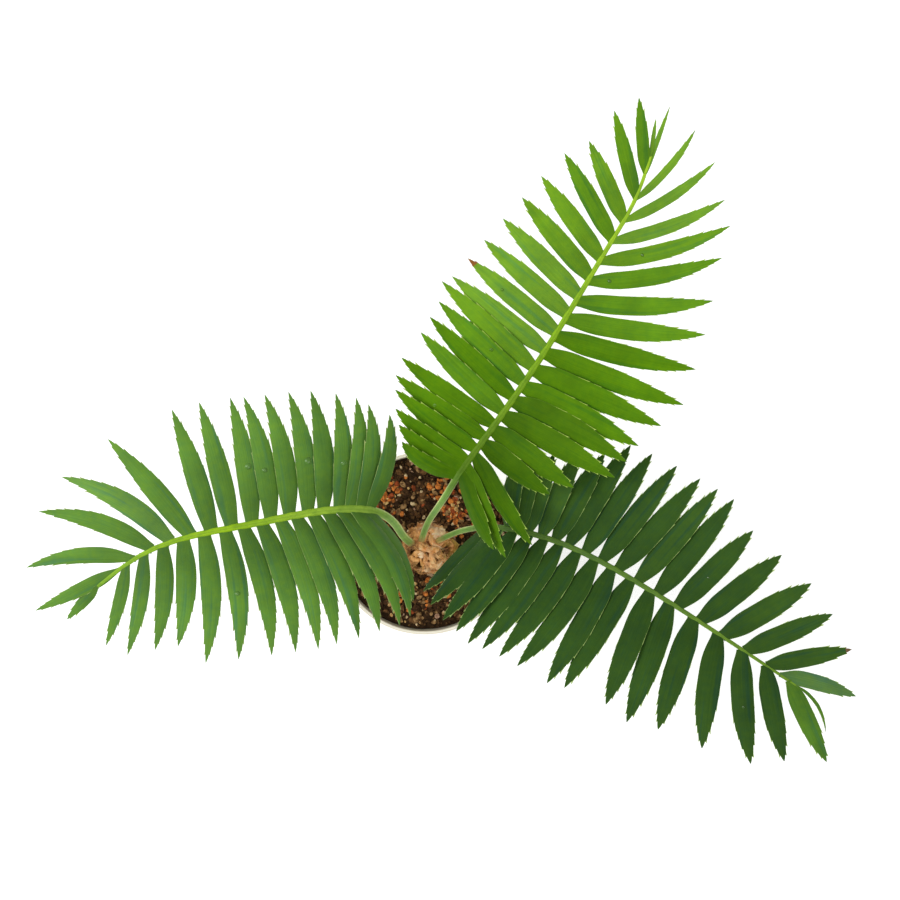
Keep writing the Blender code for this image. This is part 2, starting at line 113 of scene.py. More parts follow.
# How long a limb would be whose second surface coordinate ran from 0 to 1.
SURFACE_LENGTH = 450.0

SLANTED_ROOT = 0.3
ROOT_FLARE, FLARE_RUN = 0.15, 0.03
BACK_NARROWER = 0.04
LEAFLET_DROOP = 0.08
LEAFLET_CAMBER = 1.3
LEAFLET_THICK = 0.5
BROAD_HALF = 7.5
CALLUS, CALLUS_LENGTH = 1.5, 2.4
MARGIN = 0.16
TURN_SPREAD, TONE_SPREAD = 1.2, 0.25

FRONT_TEETH_FROM, BACK_TEETH_FROM = 0.26, 0.40
LAST_TOOTH = 0.93
TOOTH_SPACING = 10.0
TOOTH_HEIGHT = 0.42
TOOTH_LEAN = 2.2
TOOTH_NOTCH = 0.35
STAIR = 0.42
TOOTH_PHASES = np.array([0.0, 0.45, 0.8, 1.0])
TOOTH_RISE = np.array([0.0, 0.05, 0.3, 1.0])
ROOT_ROWS = np.array([0.0, 0.035, 0.08, 0.14, 0.21, 0.30, 0.42, 0.56, 0.72, 0.87])
INNER_COLUMNS = 9

# A frond is a line of points from the crown to the rib's end, the length of its bare
# stalk, how broad for its height and how thick that is, pairs of leaflet number and how
# narrow its root is, the part of a leaflet over which it opens out, and where and how
# roundly it tapers. By side and number come the withered leaflets, with how many rows of
# their tips are brown, and the drops of water: a part of the leaflet's length, how far
# across and how large. The last leaflet stands at the rib's end.
FRONDS = {
    "left": dict(
        line=((-10, 0, 135), (-17, 12, 200), (-27, 27, 250), (-38, 32, 268), (-60, 33, 280),
              (-122, 23, 293), (-195, 4, 299), (-235, -23, 290)),
        stalk=134, broad=1.3, thick=1.0,
        root=((0, 0.46), (6, 0.48), (10, 0.56)), span=0.32, taper=(0.38, 1.7),
        withered={},
        drops={("right", 3): (0.4, 0.5, 2.2), ("right", 5): (0.42, -1.5, 2.6),
               ("right", 7): (0.4, 1.0, 2.0), ("right", 8): (0.45, -1.0, 2.4),
               ("left", 9): (0.5, 1.0, 1.8)},
        last=dict(sweep=-7, reach=37, set=14, bend=0.0, width=4.2, tone=1)),
    "top": dict(
        line=((-2.5, 2, 138), (5, 22, 196), (17, 41, 242), (28, 59, 264), (45, 83, 281),
              (85, 141, 305), (135, 224, 329), (150, 251, 334), (161, 282, 337)),
        stalk=133, broad=1.1, thick=0.9,
        root=((0, 0.34), (6, 0.38), (12, 0.50)), span=0.24, taper=(0.44, 1.8),
        withered={("left", 11): 4},
        drops={("right", 14): (0.32, 0.5, 1.3), ("right", 13): (0.16, 0.0, 1.6),
               ("left", 8): (0.4, 2.0, 1.5), ("left", 11): (0.6, -1.0, 1.3),
               ("left", 4): (0.55, 0.5, 1.4)},
        last=dict(sweep=-9, reach=27, set=14, bend=0.0, width=1.5, tone=5)),
    "right": dict(
        line=((10, 2, 140), (25, 11, 180), (38, 16, 212), (51, 18, 231), (89, 12, 252),
              (159, -21, 277), (234, -69, 291), (273, -95, 288)),
        stalk=88, broad=1.1, thick=0.8,
        root=((0, 0.24), (8, 0.32), (14, 0.44)), span=0.29, taper=(0.46, 2.0),
        withered={("left", 15): 3},
        drops={("left", 0): (0.1, 0.5, 3.6), ("left", 1): (0.16, -2.0, 2.2),
               ("left", 11): (0.4, 1.0, 1.2), ("right", 14): (0.5, 0.0, 1.2)},
        last=dict(sweep=24, reach=41, set=14, bend=-0.14, width=1.3, tone=4)),
}
# Each frond's rows of leaflets: their count and, as pairs of leaflet number and value, the
# place along the line, the sweep from the rib's direction, the reach, how far the leaflet
# is set up out of the frond's face, how far it bows back as a part of its reach, its half
# width, and which of the frond's shades it has, lighter or darker along a row partly as
# painted light and painted shade.
ROWS = {
    ("left", "right"): dict(
        count=16, place=((0, 142), (3, 167), (5, 190), (8, 231), (15, 334)),
        sweep=((0, 75), (2, 88), (7, 88), (8, 90), (9, 85), (10, 83), (11, 64), (12, 50),
               (13, 44), (15, 10)),
        reach=((0, 78), (4, 89), (9, 95), (12, 92), (14, 81), (15, 73)),
        set=((0, 18), (4, 9), (15, 14)),
        bend=((0, 0.10), (3, 0.06), (7, 0.05), (9, 0.02), (11, 0.02), (12, 0.08), (14, 0.07),
              (15, -0.01)),
        width=((0, 7.4), (4, 8.0), (12, 7.7), (15, 5.2)),
        tone=((0, 0.9), (4, 1.6), (10, 2.2), (15, 1.6))),
    ("left", "left"): dict(
        count=15, place=((0, 144), (4, 187), (6, 211), (9, 251), (14, 327)),
        sweep=((0, 107), (2, 106), (5, 95), (8, 91), (10, 79), (12, 67), (14, 43)),
        reach=((0, 76), (1, 91), (2, 98), (6, 101), (10, 95), (11, 79), (13, 74), (14, 61)),
        set=((0, 36), (4, 18), (14, 14)),
        bend=((0, 0.12), (4, 0.06), (12, 0.05), (14, 0.03)),
        width=((0, 9.0), (4, 8.0), (11, 7.4), (14, 5.0)),
        tone=((0, 0.0), (3, 1.0), (10, 1.8), (14, 0.8))),
    ("top", "left"): dict(
        count=20, place=((0, 140), (2, 157), (6, 205), (9, 245), (17, 367), (19, 403)),
        sweep=((0, 67), (2, 77), (4, 86), (5, 85), (6, 77), (9, 77), (10, 81), (12, 77),
               (15, 66), (17, 54), (19, 24)),
        reach=((0, 60), (3, 77), (5, 85), (8, 87), (9, 93), (10, 87), (14, 76), (16, 71),
               (17, 62), (18, 63), (19, 53)),
        set=((0, 30), (4, 12), (19, 14)),
        bend=((0, 0.08), (3, 0.03), (8, 0.01), (19, 0.0)),
        width=((0, 7.2), (4, 7.9), (14, 7.0), (17, 5.8), (19, 4.4)),
        tone=((0, 1.9), (5, 2.2), (8, 3.0), (10, 5.0), (13, 5.0), (15, 3.6), (19, 2.9))),
    ("top", "right"): dict(
        count=19, place=((0, 146), (1, 154), (3, 176), (7, 229), (12, 302), (18, 399)),
        sweep=((0, 101), (1, 108), (2, 101), (3, 83), (4, 83), (5, 78), (7, 79), (9, 75),
               (12, 58), (13, 49), (15, 39), (17, 16), (18, 1)),
        reach=((0, 66), (1, 76), (2, 81), (3, 65), (4, 76), (5, 97), (7, 97), (9, 109),
               (12, 99), (14, 96), (15, 85), (16, 76), (18, 54)),
        set=((0, 38), (1, 30), (3, 18), (18, 12)),
        bend=((0, 0.05), (5, 0.0), (6, -0.02), (7, 0.0), (13, 0.05), (17, 0.05), (18, 0.0)),
        width=((0, 8.6), (2, 8.4), (4, 9.4), (8, 9.0), (12, 6.8), (14, 5.7), (16, 3.8),
               (18, 1.8)),
        tone=((0, 0.0), (4, 0.5), (7, 1.4), (9, 2.0), (12, 2.6), (14, 3.6), (15, 4.6),
              (18, 5.2))),
    ("right", "left"): dict(
        count=17, place=((0, 119), (2, 135), (5, 168), (8, 209), (11, 260), (15, 337),
                         (16, 349)),
        sweep=((0, 76), (2, 78), (4, 76), (6, 78), (8, 75), (10, 81), (12, 72), (14, 58),
               (15, 46), (16, 18)),
        reach=((0, 57), (3, 71), (4, 77), (5, 90), (8, 93), (10, 91), (11, 80), (13, 76),
               (15, 63), (16, 59)),
        set=((0, 24), (4, 10), (16, 14)),
        bend=((0, 0.04), (4, 0.02), (8, 0.0), (15, 0.0), (16, 0.03)),
        width=((0, 8.0), (4, 8.5), (13, 8.2), (16, 5.8)),
        tone=((0, 3.0), (3, 2.4), (5, 1.0), (8, 1.0), (12, 1.6), (15, 2.6), (16, 5.2))),
    ("right", "right"): dict(
        count=17, place=((0, 100), (5, 162), (8, 205), (11, 254), (16, 357)),
        sweep=((0, 124), (1, 114), (2, 109), (4, 104), (7, 95), (8, 87), (9, 88), (10, 78),
               (12, 75), (13, 66), (14, 54), (15, 47), (16, 32)),
        reach=((0, 70), (2, 88), (4, 99), (8, 100), (10, 92), (11, 95), (12, 87), (14, 83),
               (15, 71), (16, 66)),
        set=((0, 36), (4, 18), (16, 14)),
        bend=((4, 0.0), (7, -0.03), (9, 0.01), (11, 0.0), (14, 0.03), (16, 0.0)),
        width=((0, 9.2), (4, 8.7), (11, 8.9), (14, 8.2), (16, 6.8)),
        tone=((0, 0.8), (8, 0.6), (14, 0.9), (15, 1.4), (16, 4.0))),
}
SIDE_SIGN = {"left": -1, "right": 1}

# Pairs of the rib's slope and how far a leaflet's forward edge is turned up.
TWIST = ((18, 10), (45, -4))

# Colours

# Plain base colours. Each frond's leaflets are dealt out in several shades of its own: partly
# the leaflets' own greens, and partly painted light and painted shade, as lighter and darker
# copies of one green; the left frond's first, bluish shade is a painted sheen.
LEAF_SHADES_AND_PAINTED_LIGHT = {
    "left": ((0.080, 0.172, 0.060), (0.075, 0.177, 0.028), (0.086, 0.200, 0.031),
             (0.104, 0.228, 0.044)),
    "top": ((0.044, 0.115, 0.003), (0.056, 0.142, 0.004), (0.072, 0.184, 0.004),
            (0.090, 0.222, 0.010), (0.112, 0.252, 0.014), (0.130, 0.282, 0.024)),
    "right": ((0.022, 0.062, 0.012), (0.027, 0.071, 0.013), (0.033, 0.083, 0.014),
              (0.045, 0.108, 0.020), (0.070, 0.168, 0.020), (0.078, 0.170, 0.048)),
}
# The leaflets' gloss, how much darker a root is and lighter a tip than the middle, and
# the colours of the margins, the spines, the underside and the withered tips.
LEAF_LOOKS = {
    "left": (0.12, 0.20, (0.19, 0.29, 0.08), (0.30, 0.38, 0.12), (0.13, 0.24, 0.07),
             (0.24, 0.12, 0.04)),
    "top": (0.04, 0.13, (0.10, 0.21, 0.015), (0.36, 0.50, 0.09), (0.12, 0.25, 0.045),
            (0.26, 0.10, 0.022)),
    "right": (0.05, 0.10, (0.15, 0.25, 0.055), (0.34, 0.46, 0.14), (0.065, 0.13, 0.035),
              (0.15, 0.09, 0.045)),
}
# A rib's colour where the blade begins, half way and at its end.
RIB_COLORS = {
    "left": ((0.230, 0.380, 0.045), (0.275, 0.465, 0.012), (0.200, 0.380, 0.030)),
    "top": ((0.088, 0.180, 0.012), (0.210, 0.390, 0.010), (0.340, 0.560, 0.025)),
    "right": ((0.070, 0.140, 0.022), (0.090, 0.182, 0.024), (0.150, 0.275, 0.020)),
}
STALK_COLOR = (0.220, 0.400, 0.088)
STALK_EDGE_COLOR = (0.64, 0.68, 0.30)
STALK_FOOT_COLOR = (0.52, 0.40, 0.15)
POT_COLOR = (0.94, 0.87, 0.72)

# The caudex's skin from its darkest tone, which is painted shade in its hollows, to its
# palest; and painted shade that darkens the skin from its lobes down into its creases
# and hollows.
SKIN_TONES = ((0.0, (0.06, 0.02, 0.012)), (0.2, (0.26, 0.16, 0.04)), (0.38, (0.6, 0.33, 0.11)),
              (0.6, (1.0, 0.57, 0.24)), (0.82, (1.0, 0.72, 0.4)), (1.0, (1.0, 0.8, 0.53)))
SKIN_CREASE_SHADE = ((0.0, (0.20, 0.12, 0.08)), (0.28, (0.50, 0.40, 0.32)),
                (0.5, (0.88, 0.84, 0.8)), (0.75, (1, 1, 1)))
# Two colours for each husk, and for each kind of wool its colour, its most tufts and the
# tones that it grows on.
HUSKS = (("brown", (0.24, 0.10, 0.05), (0.12, 0.05, 0.02)),
         ("green", (0.84, 0.62, 0.17), (0.50, 0.33, 0.08)),
         ("tan", (0.66, 0.38, 0.15), (0.42, 0.21, 0.08)),
         ("peach", (1.0, 0.60, 0.29), (0.72, 0.36, 0.15)),
         ("cream", (1.0, 0.80, 0.54), (1.0, 0.66, 0.38)))
WOOL = (("peach", (1, 0.60, 0.29), 34, 0.5, 0.85), ("cream", (1, 0.78, 0.50), 20, 0.78, 1),
        ("gold", (0.86, 0.48, 0.18), 26, 0.3, 0.6), ("brown", (0.34, 0.15, 0.06), 12, 0, 0.3))

# Where the orange grit lies thickest, as a place on the soil and how far it spreads each
# way, and the kinds of grit that lie there.
ORANGE_PATCHES = ((-28, 46, 8, 6), (-31, 34, 6, 7), (-36, 20, 6, 8), (21, 28, 6, 6),
                  (29, 22, 7, 6), (14, 46, 8, 6), (-20, -45, 14, 8), (30, -40, 12, 10),
                  (0, 0, 36, 36), (0, 0, 36, 36))
PATCHY = ("grit_orange", "grit_red", "grit_gold")
# The soil's grains: how many are strewn, their size, how far they tip over and sink in,
# and their two colours.
GRAINS = (
    ("bark_dark", 500, (3.2, 2.1, 1.4), 0.5, 0.25,
     (0.03, 0.013, 0.005), (0.075, 0.034, 0.012)),
    ("bark_brown", 470, (2.9, 2, 1.3), 0.55, 0.2, (0.185, 0.086, 0.03), (0.055, 0.025, 0.009)),
    ("bark_tan", 240, (2.7, 1.9, 1.3), 0.55, 0.15, (0.4, 0.23, 0.095), (0.12, 0.06, 0.022)),
    ("bark_pink", 60, (2.4, 1.7, 1.1), 0.5, 0.1, (0.6, 0.36, 0.24), (0.24, 0.12, 0.07)),
    ("crumbs", 2300, (1.3, 1.1, 0.9), 0.6, 0.1, (0.12, 0.06, 0.022), (0.03, 0.013, 0.005)),
    ("grit_orange", 170, (2.4, 2, 1.5), 0.6, 0.05, (0.74, 0.23, 0.045), (0.26, 0.078, 0.02)),
    ("grit_red", 90, (2.2, 1.8, 1.4), 0.6, 0.1, (0.42, 0.085, 0.024), (0.15, 0.038, 0.012)),
    ("grit_gold", 70, (1.9, 1.5, 1.2), 0.6, 0, (0.86, 0.56, 0.23), (0.45, 0.24, 0.08)),
    ("grit_pale", 130, (1.6, 1.3, 1.1), 0.6, 0.05, (0.8, 0.6, 0.35), (0.38, 0.24, 0.11)),
)

# The studio, in metres: each lamp's place, what it points at, its width and its power.
LAMPS = (("key", (-1.3, 0.2, 1.5), (0, 0.05, 0.2), 1.2, 22.0),
         ("fill", (1.2, -0.9, 1.6), (0, 0.05, 0.2), 1.4, 9.0),
         ("overhead", (0.0, 0.03, 1.95), (0, 0.0, 0.2), 0.5, 7.0))
WORLD_LIGHT, FLOOR_GLOW = 0.39, 0.40
CAMERA_PLACE, CAMERA_LENS = (0.021, 0.0765, 1.5), 66.84


# Shapes

class Shape:
    """Points in millimetres, lists of faces with three or four corners, a material slot
    for each face and a pair of surface coordinates for each point."""

    def __init__(self, points, faces, slots=None, uv=None):
        self.points = np.asarray(points, float).reshape(-1, 3)
        self.faces = faces
        self.slots = [np.zeros(len(f), int) for f in faces] if slots is None else slots
        self.uv = np.reshape(np.zeros((len(self.points), 2)) if uv is None else uv, (-1, 2))


def placed(name, data):
    """A new object in the scene."""
    obj = bpy.data.objects.new(name, data)
    bpy.context.scene.collection.objects.link(obj)
    return obj


def joined(name, shapes):
    """Shapes as one mesh in metres."""
    starts = np.cumsum([0] + [len(shape.points) for shape in shapes[:-1]])
    faces = [face for shape, start in zip(shapes, starts) for part in shape.faces
             for face in (part + start).tolist()]
    mesh = bpy.data.meshes.new(name)
    mesh.from_pydata(np.concatenate([shape.points for shape in shapes]) * MM, [], faces)
    return mesh


def smoothed(mesh, sharp=35.0):
    """Smooths a mesh. Edges that bend by more than `sharp` stay crisp."""
    mesh.shade_smooth()
    mesh.set_sharp_from_angle(angle=math.radians(sharp))


def piece(name, shapes, materials, node=None, sharp=35.0):
    """Shapes as one smooth piece that rides on the plant's body and may stand for a
    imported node."""
    mesh = joined(name, shapes)
    for material in materials:
        mesh.materials.append(material)
    slots = np.concatenate([part for shape in shapes for part in shape.slots])
    mesh.polygons.foreach_set("material_index", slots.astype(np.int32))
    corners = np.empty(len(mesh.loops), np.int32)
    mesh.loops.foreach_get("vertex_index", corners)
    uv = np.concatenate([shape.uv for shape in shapes])[corners]
    mesh.uv_layers.new(name="Surface").data.foreach_set("uv", uv.astype(np.float32).ravel())
    smoothed(mesh, sharp)
    obj = placed(name, mesh)
    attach(obj, BODY)
    if node:
        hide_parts(node)
    return obj


def unit(vectors):
    """Vectors scaled to length one."""
    return vectors / np.linalg.norm(vectors, axis=-1, keepdims=True)


def between(pairs, where):
    """The value at a place on the straight runs between pairs of place and value."""
    return float(np.interp(where, *zip(*pairs)))


def circle(count):
    """Angles evenly spaced round a circle."""
    return math.tau * np.arange(count) / count


def polar(radius, angle, height=0.0):
    """Points by their radius and angle round the upright axis, and their height."""
    x, y = radius * np.cos(angle), radius * np.sin(angle)
    return np.stack(np.broadcast_arrays(x, y, height), -1)


def rotated(points, axis, angle):
    """Points turned about unit axes: the part along the axis stays, and the rest goes
    round it by the cosine and the sine of the angle."""
    cos, sin = np.cos(angle)[:, None, None], np.sin(angle)[:, None, None]
    along = (points * axis).sum(-1, keepdims=True) * axis
    return points * cos + np.cross(axis, points) * sin + along * (1 - cos)


def grid_faces(rows, columns, wrap=False):
    """Four-cornered faces of a grid of points stored row by row. Their outer side is
    where the row direction crossed with the column direction points. With `wrap` the
    last column joins the first."""
    across = columns if wrap else columns - 1
    i, j = np.meshgrid(np.arange(rows - 1), np.arange(across), indexing="ij")
    here, beside = i * columns + j, i * columns + (j + 1) % columns
    return np.stack([here, here + columns, beside + columns, beside], -1).reshape(-1, 4)


def thin_faces(rows, columns, flip):
    """Faces of a closed thin solid: a front grid, a back grid and the wall round them."""
    front, half = grid_faces(rows, columns), rows * columns
    index = np.arange(half).reshape(rows, columns)
    rim = np.concatenate([index[:, 0], index[-1, 1:], index[-2::-1, -1], index[0, -2:0:-1]])
    after = np.roll(rim, -1)
    wall = np.stack([rim, rim + half, after + half, after], -1)
    return [part[:, ::-1] if flip else part for part in (front, front[:, ::-1] + half, wall)]


def closed_rings(points, first, last, uv=None, ends_uv=None):
    """Rings of points, row by row, closed by a fan of triangles from a first point and
    one from a last point."""
    rows, sides = points.shape[:2]
    top, ring = rows * sides, np.arange(sides)
    fans = [np.stack([np.full(sides, centre), around, np.roll(around, -1)], -1)
            for centre, around in ((top, ring), (top + 1, top - sides + ring[::-1]))]
    return Shape(np.vstack([points.reshape(-1, 3), first, last]),
                 [grid_faces(rows, sides, wrap=True), *fans],
                 uv=None if uv is None else np.vstack([uv.reshape(-1, 2), ends_uv]))


def ball(subdivisions):
    """Unit directions and triangles of an even ball: an icosahedron whose faces are split
    and pushed out to the sphere."""
    form = bmesh.new()
    bmesh.ops.create_icosphere(form, subdivisions=subdivisions, radius=1.0)
    mesh = bpy.data.meshes.new("ball")
    form.to_mesh(mesh)
    form.free()
    directions = np.empty((len(mesh.vertices), 3), np.float32)
    mesh.vertices.foreach_get("co", directions.ravel())
    faces = np.empty((len(mesh.polygons), 3), np.int32)
    mesh.loops.foreach_get("vertex_index", faces.ravel())
    bpy.data.meshes.remove(mesh)
    return directions.astype(float), faces


def noise(points, size, seed):
    """Smooth random values from -1 to 1: a lattice of seeded random values with cells of
    one size, blended between each cell's eight corners by a smooth step."""
    cells = 32
    lattice = np.random.default_rng(seed).uniform(-1, 1, (cells,) * 3)
    where = np.asarray(points) / size
    low = np.floor(where).astype(int)
    part = where - low
    part = part * part * (3 - 2 * part)
    total = np.zeros(part.shape[:-1])
    for corner in np.ndindex(2, 2, 2):
        index = np.moveaxis((low + corner) % cells, -1, 0)
        total += np.where(corner, part, 1 - part).prod(-1) * lattice[tuple(index)]
    return total


class Line:
    """A smooth natural cubic curve through points, read by the length along it. Its
    second derivatives at the points solve one linear system, and past its ends it runs
    on straight."""
    SAMPLES = 900
    RUN_ON = 60.0

    def __init__(self, points):
        points = np.array(points, float)
        spans = np.linalg.norm(np.diff(points, axis=0), axis=1)
        slopes = np.diff(points, axis=0) / spans[:, None]
        inner = np.arange(1, len(points) - 1)
        system, right = np.eye(len(points)), np.zeros_like(points)
        system[inner, inner - 1] = spans[:-1]
        system[inner, inner] = 2 * (spans[:-1] + spans[1:])
        system[inner, inner + 1] = spans[1:]
        right[inner] = 6 * np.diff(slopes, axis=0)
        bends = np.linalg.solve(system, right)
        starts = np.append(0.0, np.cumsum(spans))
        places = np.linspace(0, starts[-1], self.SAMPLES)
        index = np.clip(np.searchsorted(starts, places, side="right") - 1, 0, len(spans) - 1)
        span, after = spans[index][:, None], (places - starts[index])[:, None]
        before = span - after
        low, high = bends[index], bends[index + 1]
        curve = ((low * before ** 3 + high * after ** 3) / (6 * span)
                 + (points[index] / span - low * span / 6) * before
                 + (points[index + 1] / span - high * span / 6) * after)
        lengths = np.append(0.0, np.cumsum(np.linalg.norm(np.diff(curve, axis=0), axis=1)))
        self.length = lengths[-1]
        self.lengths = np.array([-self.RUN_ON, *lengths, self.length + self.RUN_ON])
        self.places = np.vstack([curve[0] - unit(curve[1] - curve[0]) * self.RUN_ON, curve,
                                 curve[-1] + unit(curve[-1] - curve[-2]) * self.RUN_ON])

    def at(self, lengths):
        """The points at lengths along the curve."""
        return np.stack([np.interp(lengths, self.lengths, axis) for axis in self.places.T], -1)

    def axes(self, lengths):
        """Forward, rightward and upward unit directions at lengths."""
        lengths = np.asarray(lengths, float)
        forward = unit(self.at(lengths + 1.0) - self.at(lengths - 1.0))
        upward = unit(UP - (forward @ UP)[..., None] * forward)
        return forward, np.cross(forward, upward), upward


# Materials

def join(owner, node, inputs):
    """Joins a node's inputs to outputs, or sets them to values. Colours are opaque."""
    for key, value in inputs.items():
        socket = node.inputs[key]
        if isinstance(value, bpy.types.NodeSocket):
            owner.node_tree.links.new(value, socket)
        else:
            socket.default_value = (*value, 1.0) if socket.type == "RGBA" else value


def wire(mat, **inputs):
    """Joins or sets inputs of the material's Principled shader."""
    shader = mat.node_tree.nodes["Principled BSDF"]
    join(mat, shader, {key.replace("_", " "): value for key, value in inputs.items()})


def finish(name, color, roughness, gloss):
    """A Principled material with one colour, roughness and specular level."""
    mat = bpy.data.materials.new(name)
    mat.use_nodes = True
    wire(mat, Base_Color=color, Roughness=roughness, Specular_IOR_Level=gloss)
    return mat


def node_for(mat, kind, inputs, **settings):
    """A new node with its settings and inputs."""
    node = mat.node_tree.nodes.new(kind)
    for key, value in settings.items():
        setattr(node, key, value)
    join(mat, node, inputs)
    return node


def coordinates(mat, kind="Object", scale=(1.0, 1.0, 1.0)):
    """Object or surface coordinates with a scale along each direction."""
    source = node_for(mat, "ShaderNodeTexCoord", {}).outputs[kind]
    return node_for(mat, "ShaderNodeMapping", {"Vector": source, "Scale": scale}).outputs[0]


def surface(mat):
    """The two surface coordinates of a piece, one by one."""
    split = node_for(mat, "ShaderNodeSeparateXYZ", {"Vector": coordinates(mat, "UV")})
    return split.outputs["X"], split.outputs["Y"]


def speckle(mat, vector, scale, detail=3.0):
    """Noise on coordinates."""
    inputs = {"Vector": vector, "Scale": scale, "Detail": detail, "Roughness": 0.55}
    return node_for(mat, "ShaderNodeTexNoise", inputs).outputs["Fac"]


def spread(mat, value, low=0.0, high=1.0, from_low=0.3, from_high=0.7):
    """A pattern's values spread between two others."""
    inputs = {"Value": value, "From Min": from_low, "From Max": from_high,
              "To Min": low, "To Max": high}
    return node_for(mat, "ShaderNodeMapRange", inputs).outputs["Result"]


def ramp(mat, value, stops):
    """Colours read off a ramp whose stops are pairs of place and colour."""
    node = node_for(mat, "ShaderNodeValToRGB", {"Fac": value})
    elements = node.color_ramp.elements
    while len(elements) < len(stops):
        elements.new(0.5)
    for element, (place, color) in zip(elements, stops):
        element.position, element.color = place, (*color, 1.0)
    return node.outputs["Color"]


def blend(mat, share, first, second, kind="MIX"):
    """Two colours mixed by a share."""
    return node_for(mat, "ShaderNodeMix", {0: share, 6: first, 7: second},
                    data_type="RGBA", blend_type=kind).outputs[2]


def two_tone(mat, pattern, dark, light, *limits):
    """Two colours mixed by a pattern that is spread from its limits."""
    return blend(mat, spread(mat, pattern, 0.0, 1.0, *limits), dark, light)


def mottled(mat, base, *patterns):
    """A colour multiplied by two tones for each pattern, given as for two_tone."""
    for pattern in patterns:
        base = blend(mat, 1.0, base, two_tone(mat, *pattern), "MULTIPLY")
    return base


def bump(mat, height, strength, distance):
    """Fine relief from a pattern."""
    inputs = {"Height": height, "Strength": strength, "Distance": distance * MM}
    return node_for(mat, "ShaderNodeBump", inputs).outputs["Normal"]


def tinted(color, light):
    """A colour made lighter or darker."""
    return tuple(min(part * light, 1.0) for part in color)


def clouded_finish(name, color, roughness=0.5, gloss=0.1):
    """One colour in soft clouds, for a leaflet's pale edge, its spines, its withered tip
    and the water on it."""
    mat = finish(name, color, roughness, gloss)
    clouds = speckle(mat, coordinates(mat), 160.0)
    wire(mat, Base_Color=two_tone(mat, clouds, tinted(color, 0.7), tinted(color, 1.2)))
    return mat


def grain_finish(name, color, other, roughness, scale):
    """Broken bark, grit, husk or wool: two tones in small patches, with a rough face."""
    mat = finish(name, color, roughness, 0.12)
    where = coordinates(mat)
    patches, grain = (speckle(mat, where, size, 4.0) for size in (scale, scale * 4))
    wire(mat, Base_Color=two_tone(mat, patches, color, other, 0.42, 0.62),
         Roughness=spread(mat, grain, roughness - 0.2, roughness),
         Normal=bump(mat, grain, 0.7, 0.5))
    return mat


# Leaflets

def half_width(part, root, look):
    """A leaflet's half width from 0 to 1 at a part of its length: a short flare onto the
    rib, then it opens out of a narrow root as a parabola, and tapers to a point."""
    start, power = look["taper"]
    opened = 1 - (1 - np.minimum(part / look["span"], 1.0)) ** 2
    taper = np.maximum(part - start, 0.0) / (1.0 - start)
    return ((root + (1 - root) * opened) * (1 - taper ** power)
            + ROOT_FLARE * np.exp(-part / FLARE_RUN))


def toothed_edge(draw, look, start, count, root):
    """One edge of a leaflet from root to tip, as rows of part of the length, the same with
    the spines' lean, half width, and half width without the spines. From `start` on it goes
    in steps that shorten towards the tip: each keeps some of the width it began with, rises
    to a slight spine that leans forward, and drops back."""
    def width(part):
        return look["width"] * half_width(part, root, look)

    notch = TOOTH_NOTCH / look["reach"]
    steps = draw.uniform(0.75, 1.25, count) * np.linspace(1.3, 0.7, count)
    tips = start + (LAST_TOOTH - start) * np.cumsum(steps) / steps.sum()
    feet = np.append(start, tips[:-1] + notch)
    parts = feet[:, None] + (tips - feet)[:, None] * TOOTH_PHASES
    strength = (draw.uniform(0.3, 1.15, count) * np.minimum(width(tips) / 2.4, 1.0))[:, None]
    stairs = width(parts) + STAIR * (width(feet)[:, None] - width(parts))
    edge = stairs + TOOTH_HEIGHT * strength * TOOTH_RISE
    lean = TOOTH_LEAN * strength * TOOTH_RISE ** 2 / look["reach"]
    root_parts, end = ROOT_ROWS * start, tips[-1] + notch
    end_parts = np.array([end, (end + 1) / 2, 1.0])
    end_widths = width(end) * np.array([1.0, 0.62, 0.0]) + 0.07
    return [np.concatenate([first, middle.ravel(), last]) for first, middle, last in (
        (root_parts, parts, end_parts), (root_parts, parts + lean, end_parts),
        (width(root_parts), edge, end_widths), (width(root_parts), stairs, end_widths))]


def leaflet_place(line, length, sign, look):
    """A function that gives points of one leaflet's blade from the part of its length, the
    millimetres across it and the millimetres out of its face: a straight reach swept from
    the rib and set up out of the frond's face, bowed back as a parabola, drooping with the
    square of the part, and turned about its own length by its twist."""
    forward, rightward, upward = line.axes(length)
    twist = between(TWIST, math.degrees(math.asin(forward[2]))) + look.get("turn", 0.0)
    sweep, lift, twist = (math.radians(angle) for angle in (look["sweep"], look["set"], twist))
    outward = math.cos(lift) * sign * rightward + math.sin(lift) * upward
    along = math.cos(sweep) * forward + math.sin(sweep) * outward
    ahead = math.sin(sweep) * forward - math.cos(sweep) * outward
    flat_face = sign * np.cross(along, ahead)
    across = math.cos(twist) * ahead + math.sin(twist) * flat_face
    face = math.cos(twist) * flat_face - math.sin(twist) * ahead
    root, reach = line.at(length), look["reach"]

    def place(part, side, above):
        part, side, above = part[..., None], side[..., None], above[..., None]
        centre = root + reach * (part * along - look["bend"] * 4 * part * (1 - part) * ahead)
        return centre - LEAFLET_DROOP * reach * part ** 2 * UP + side * across + above * face
    return place


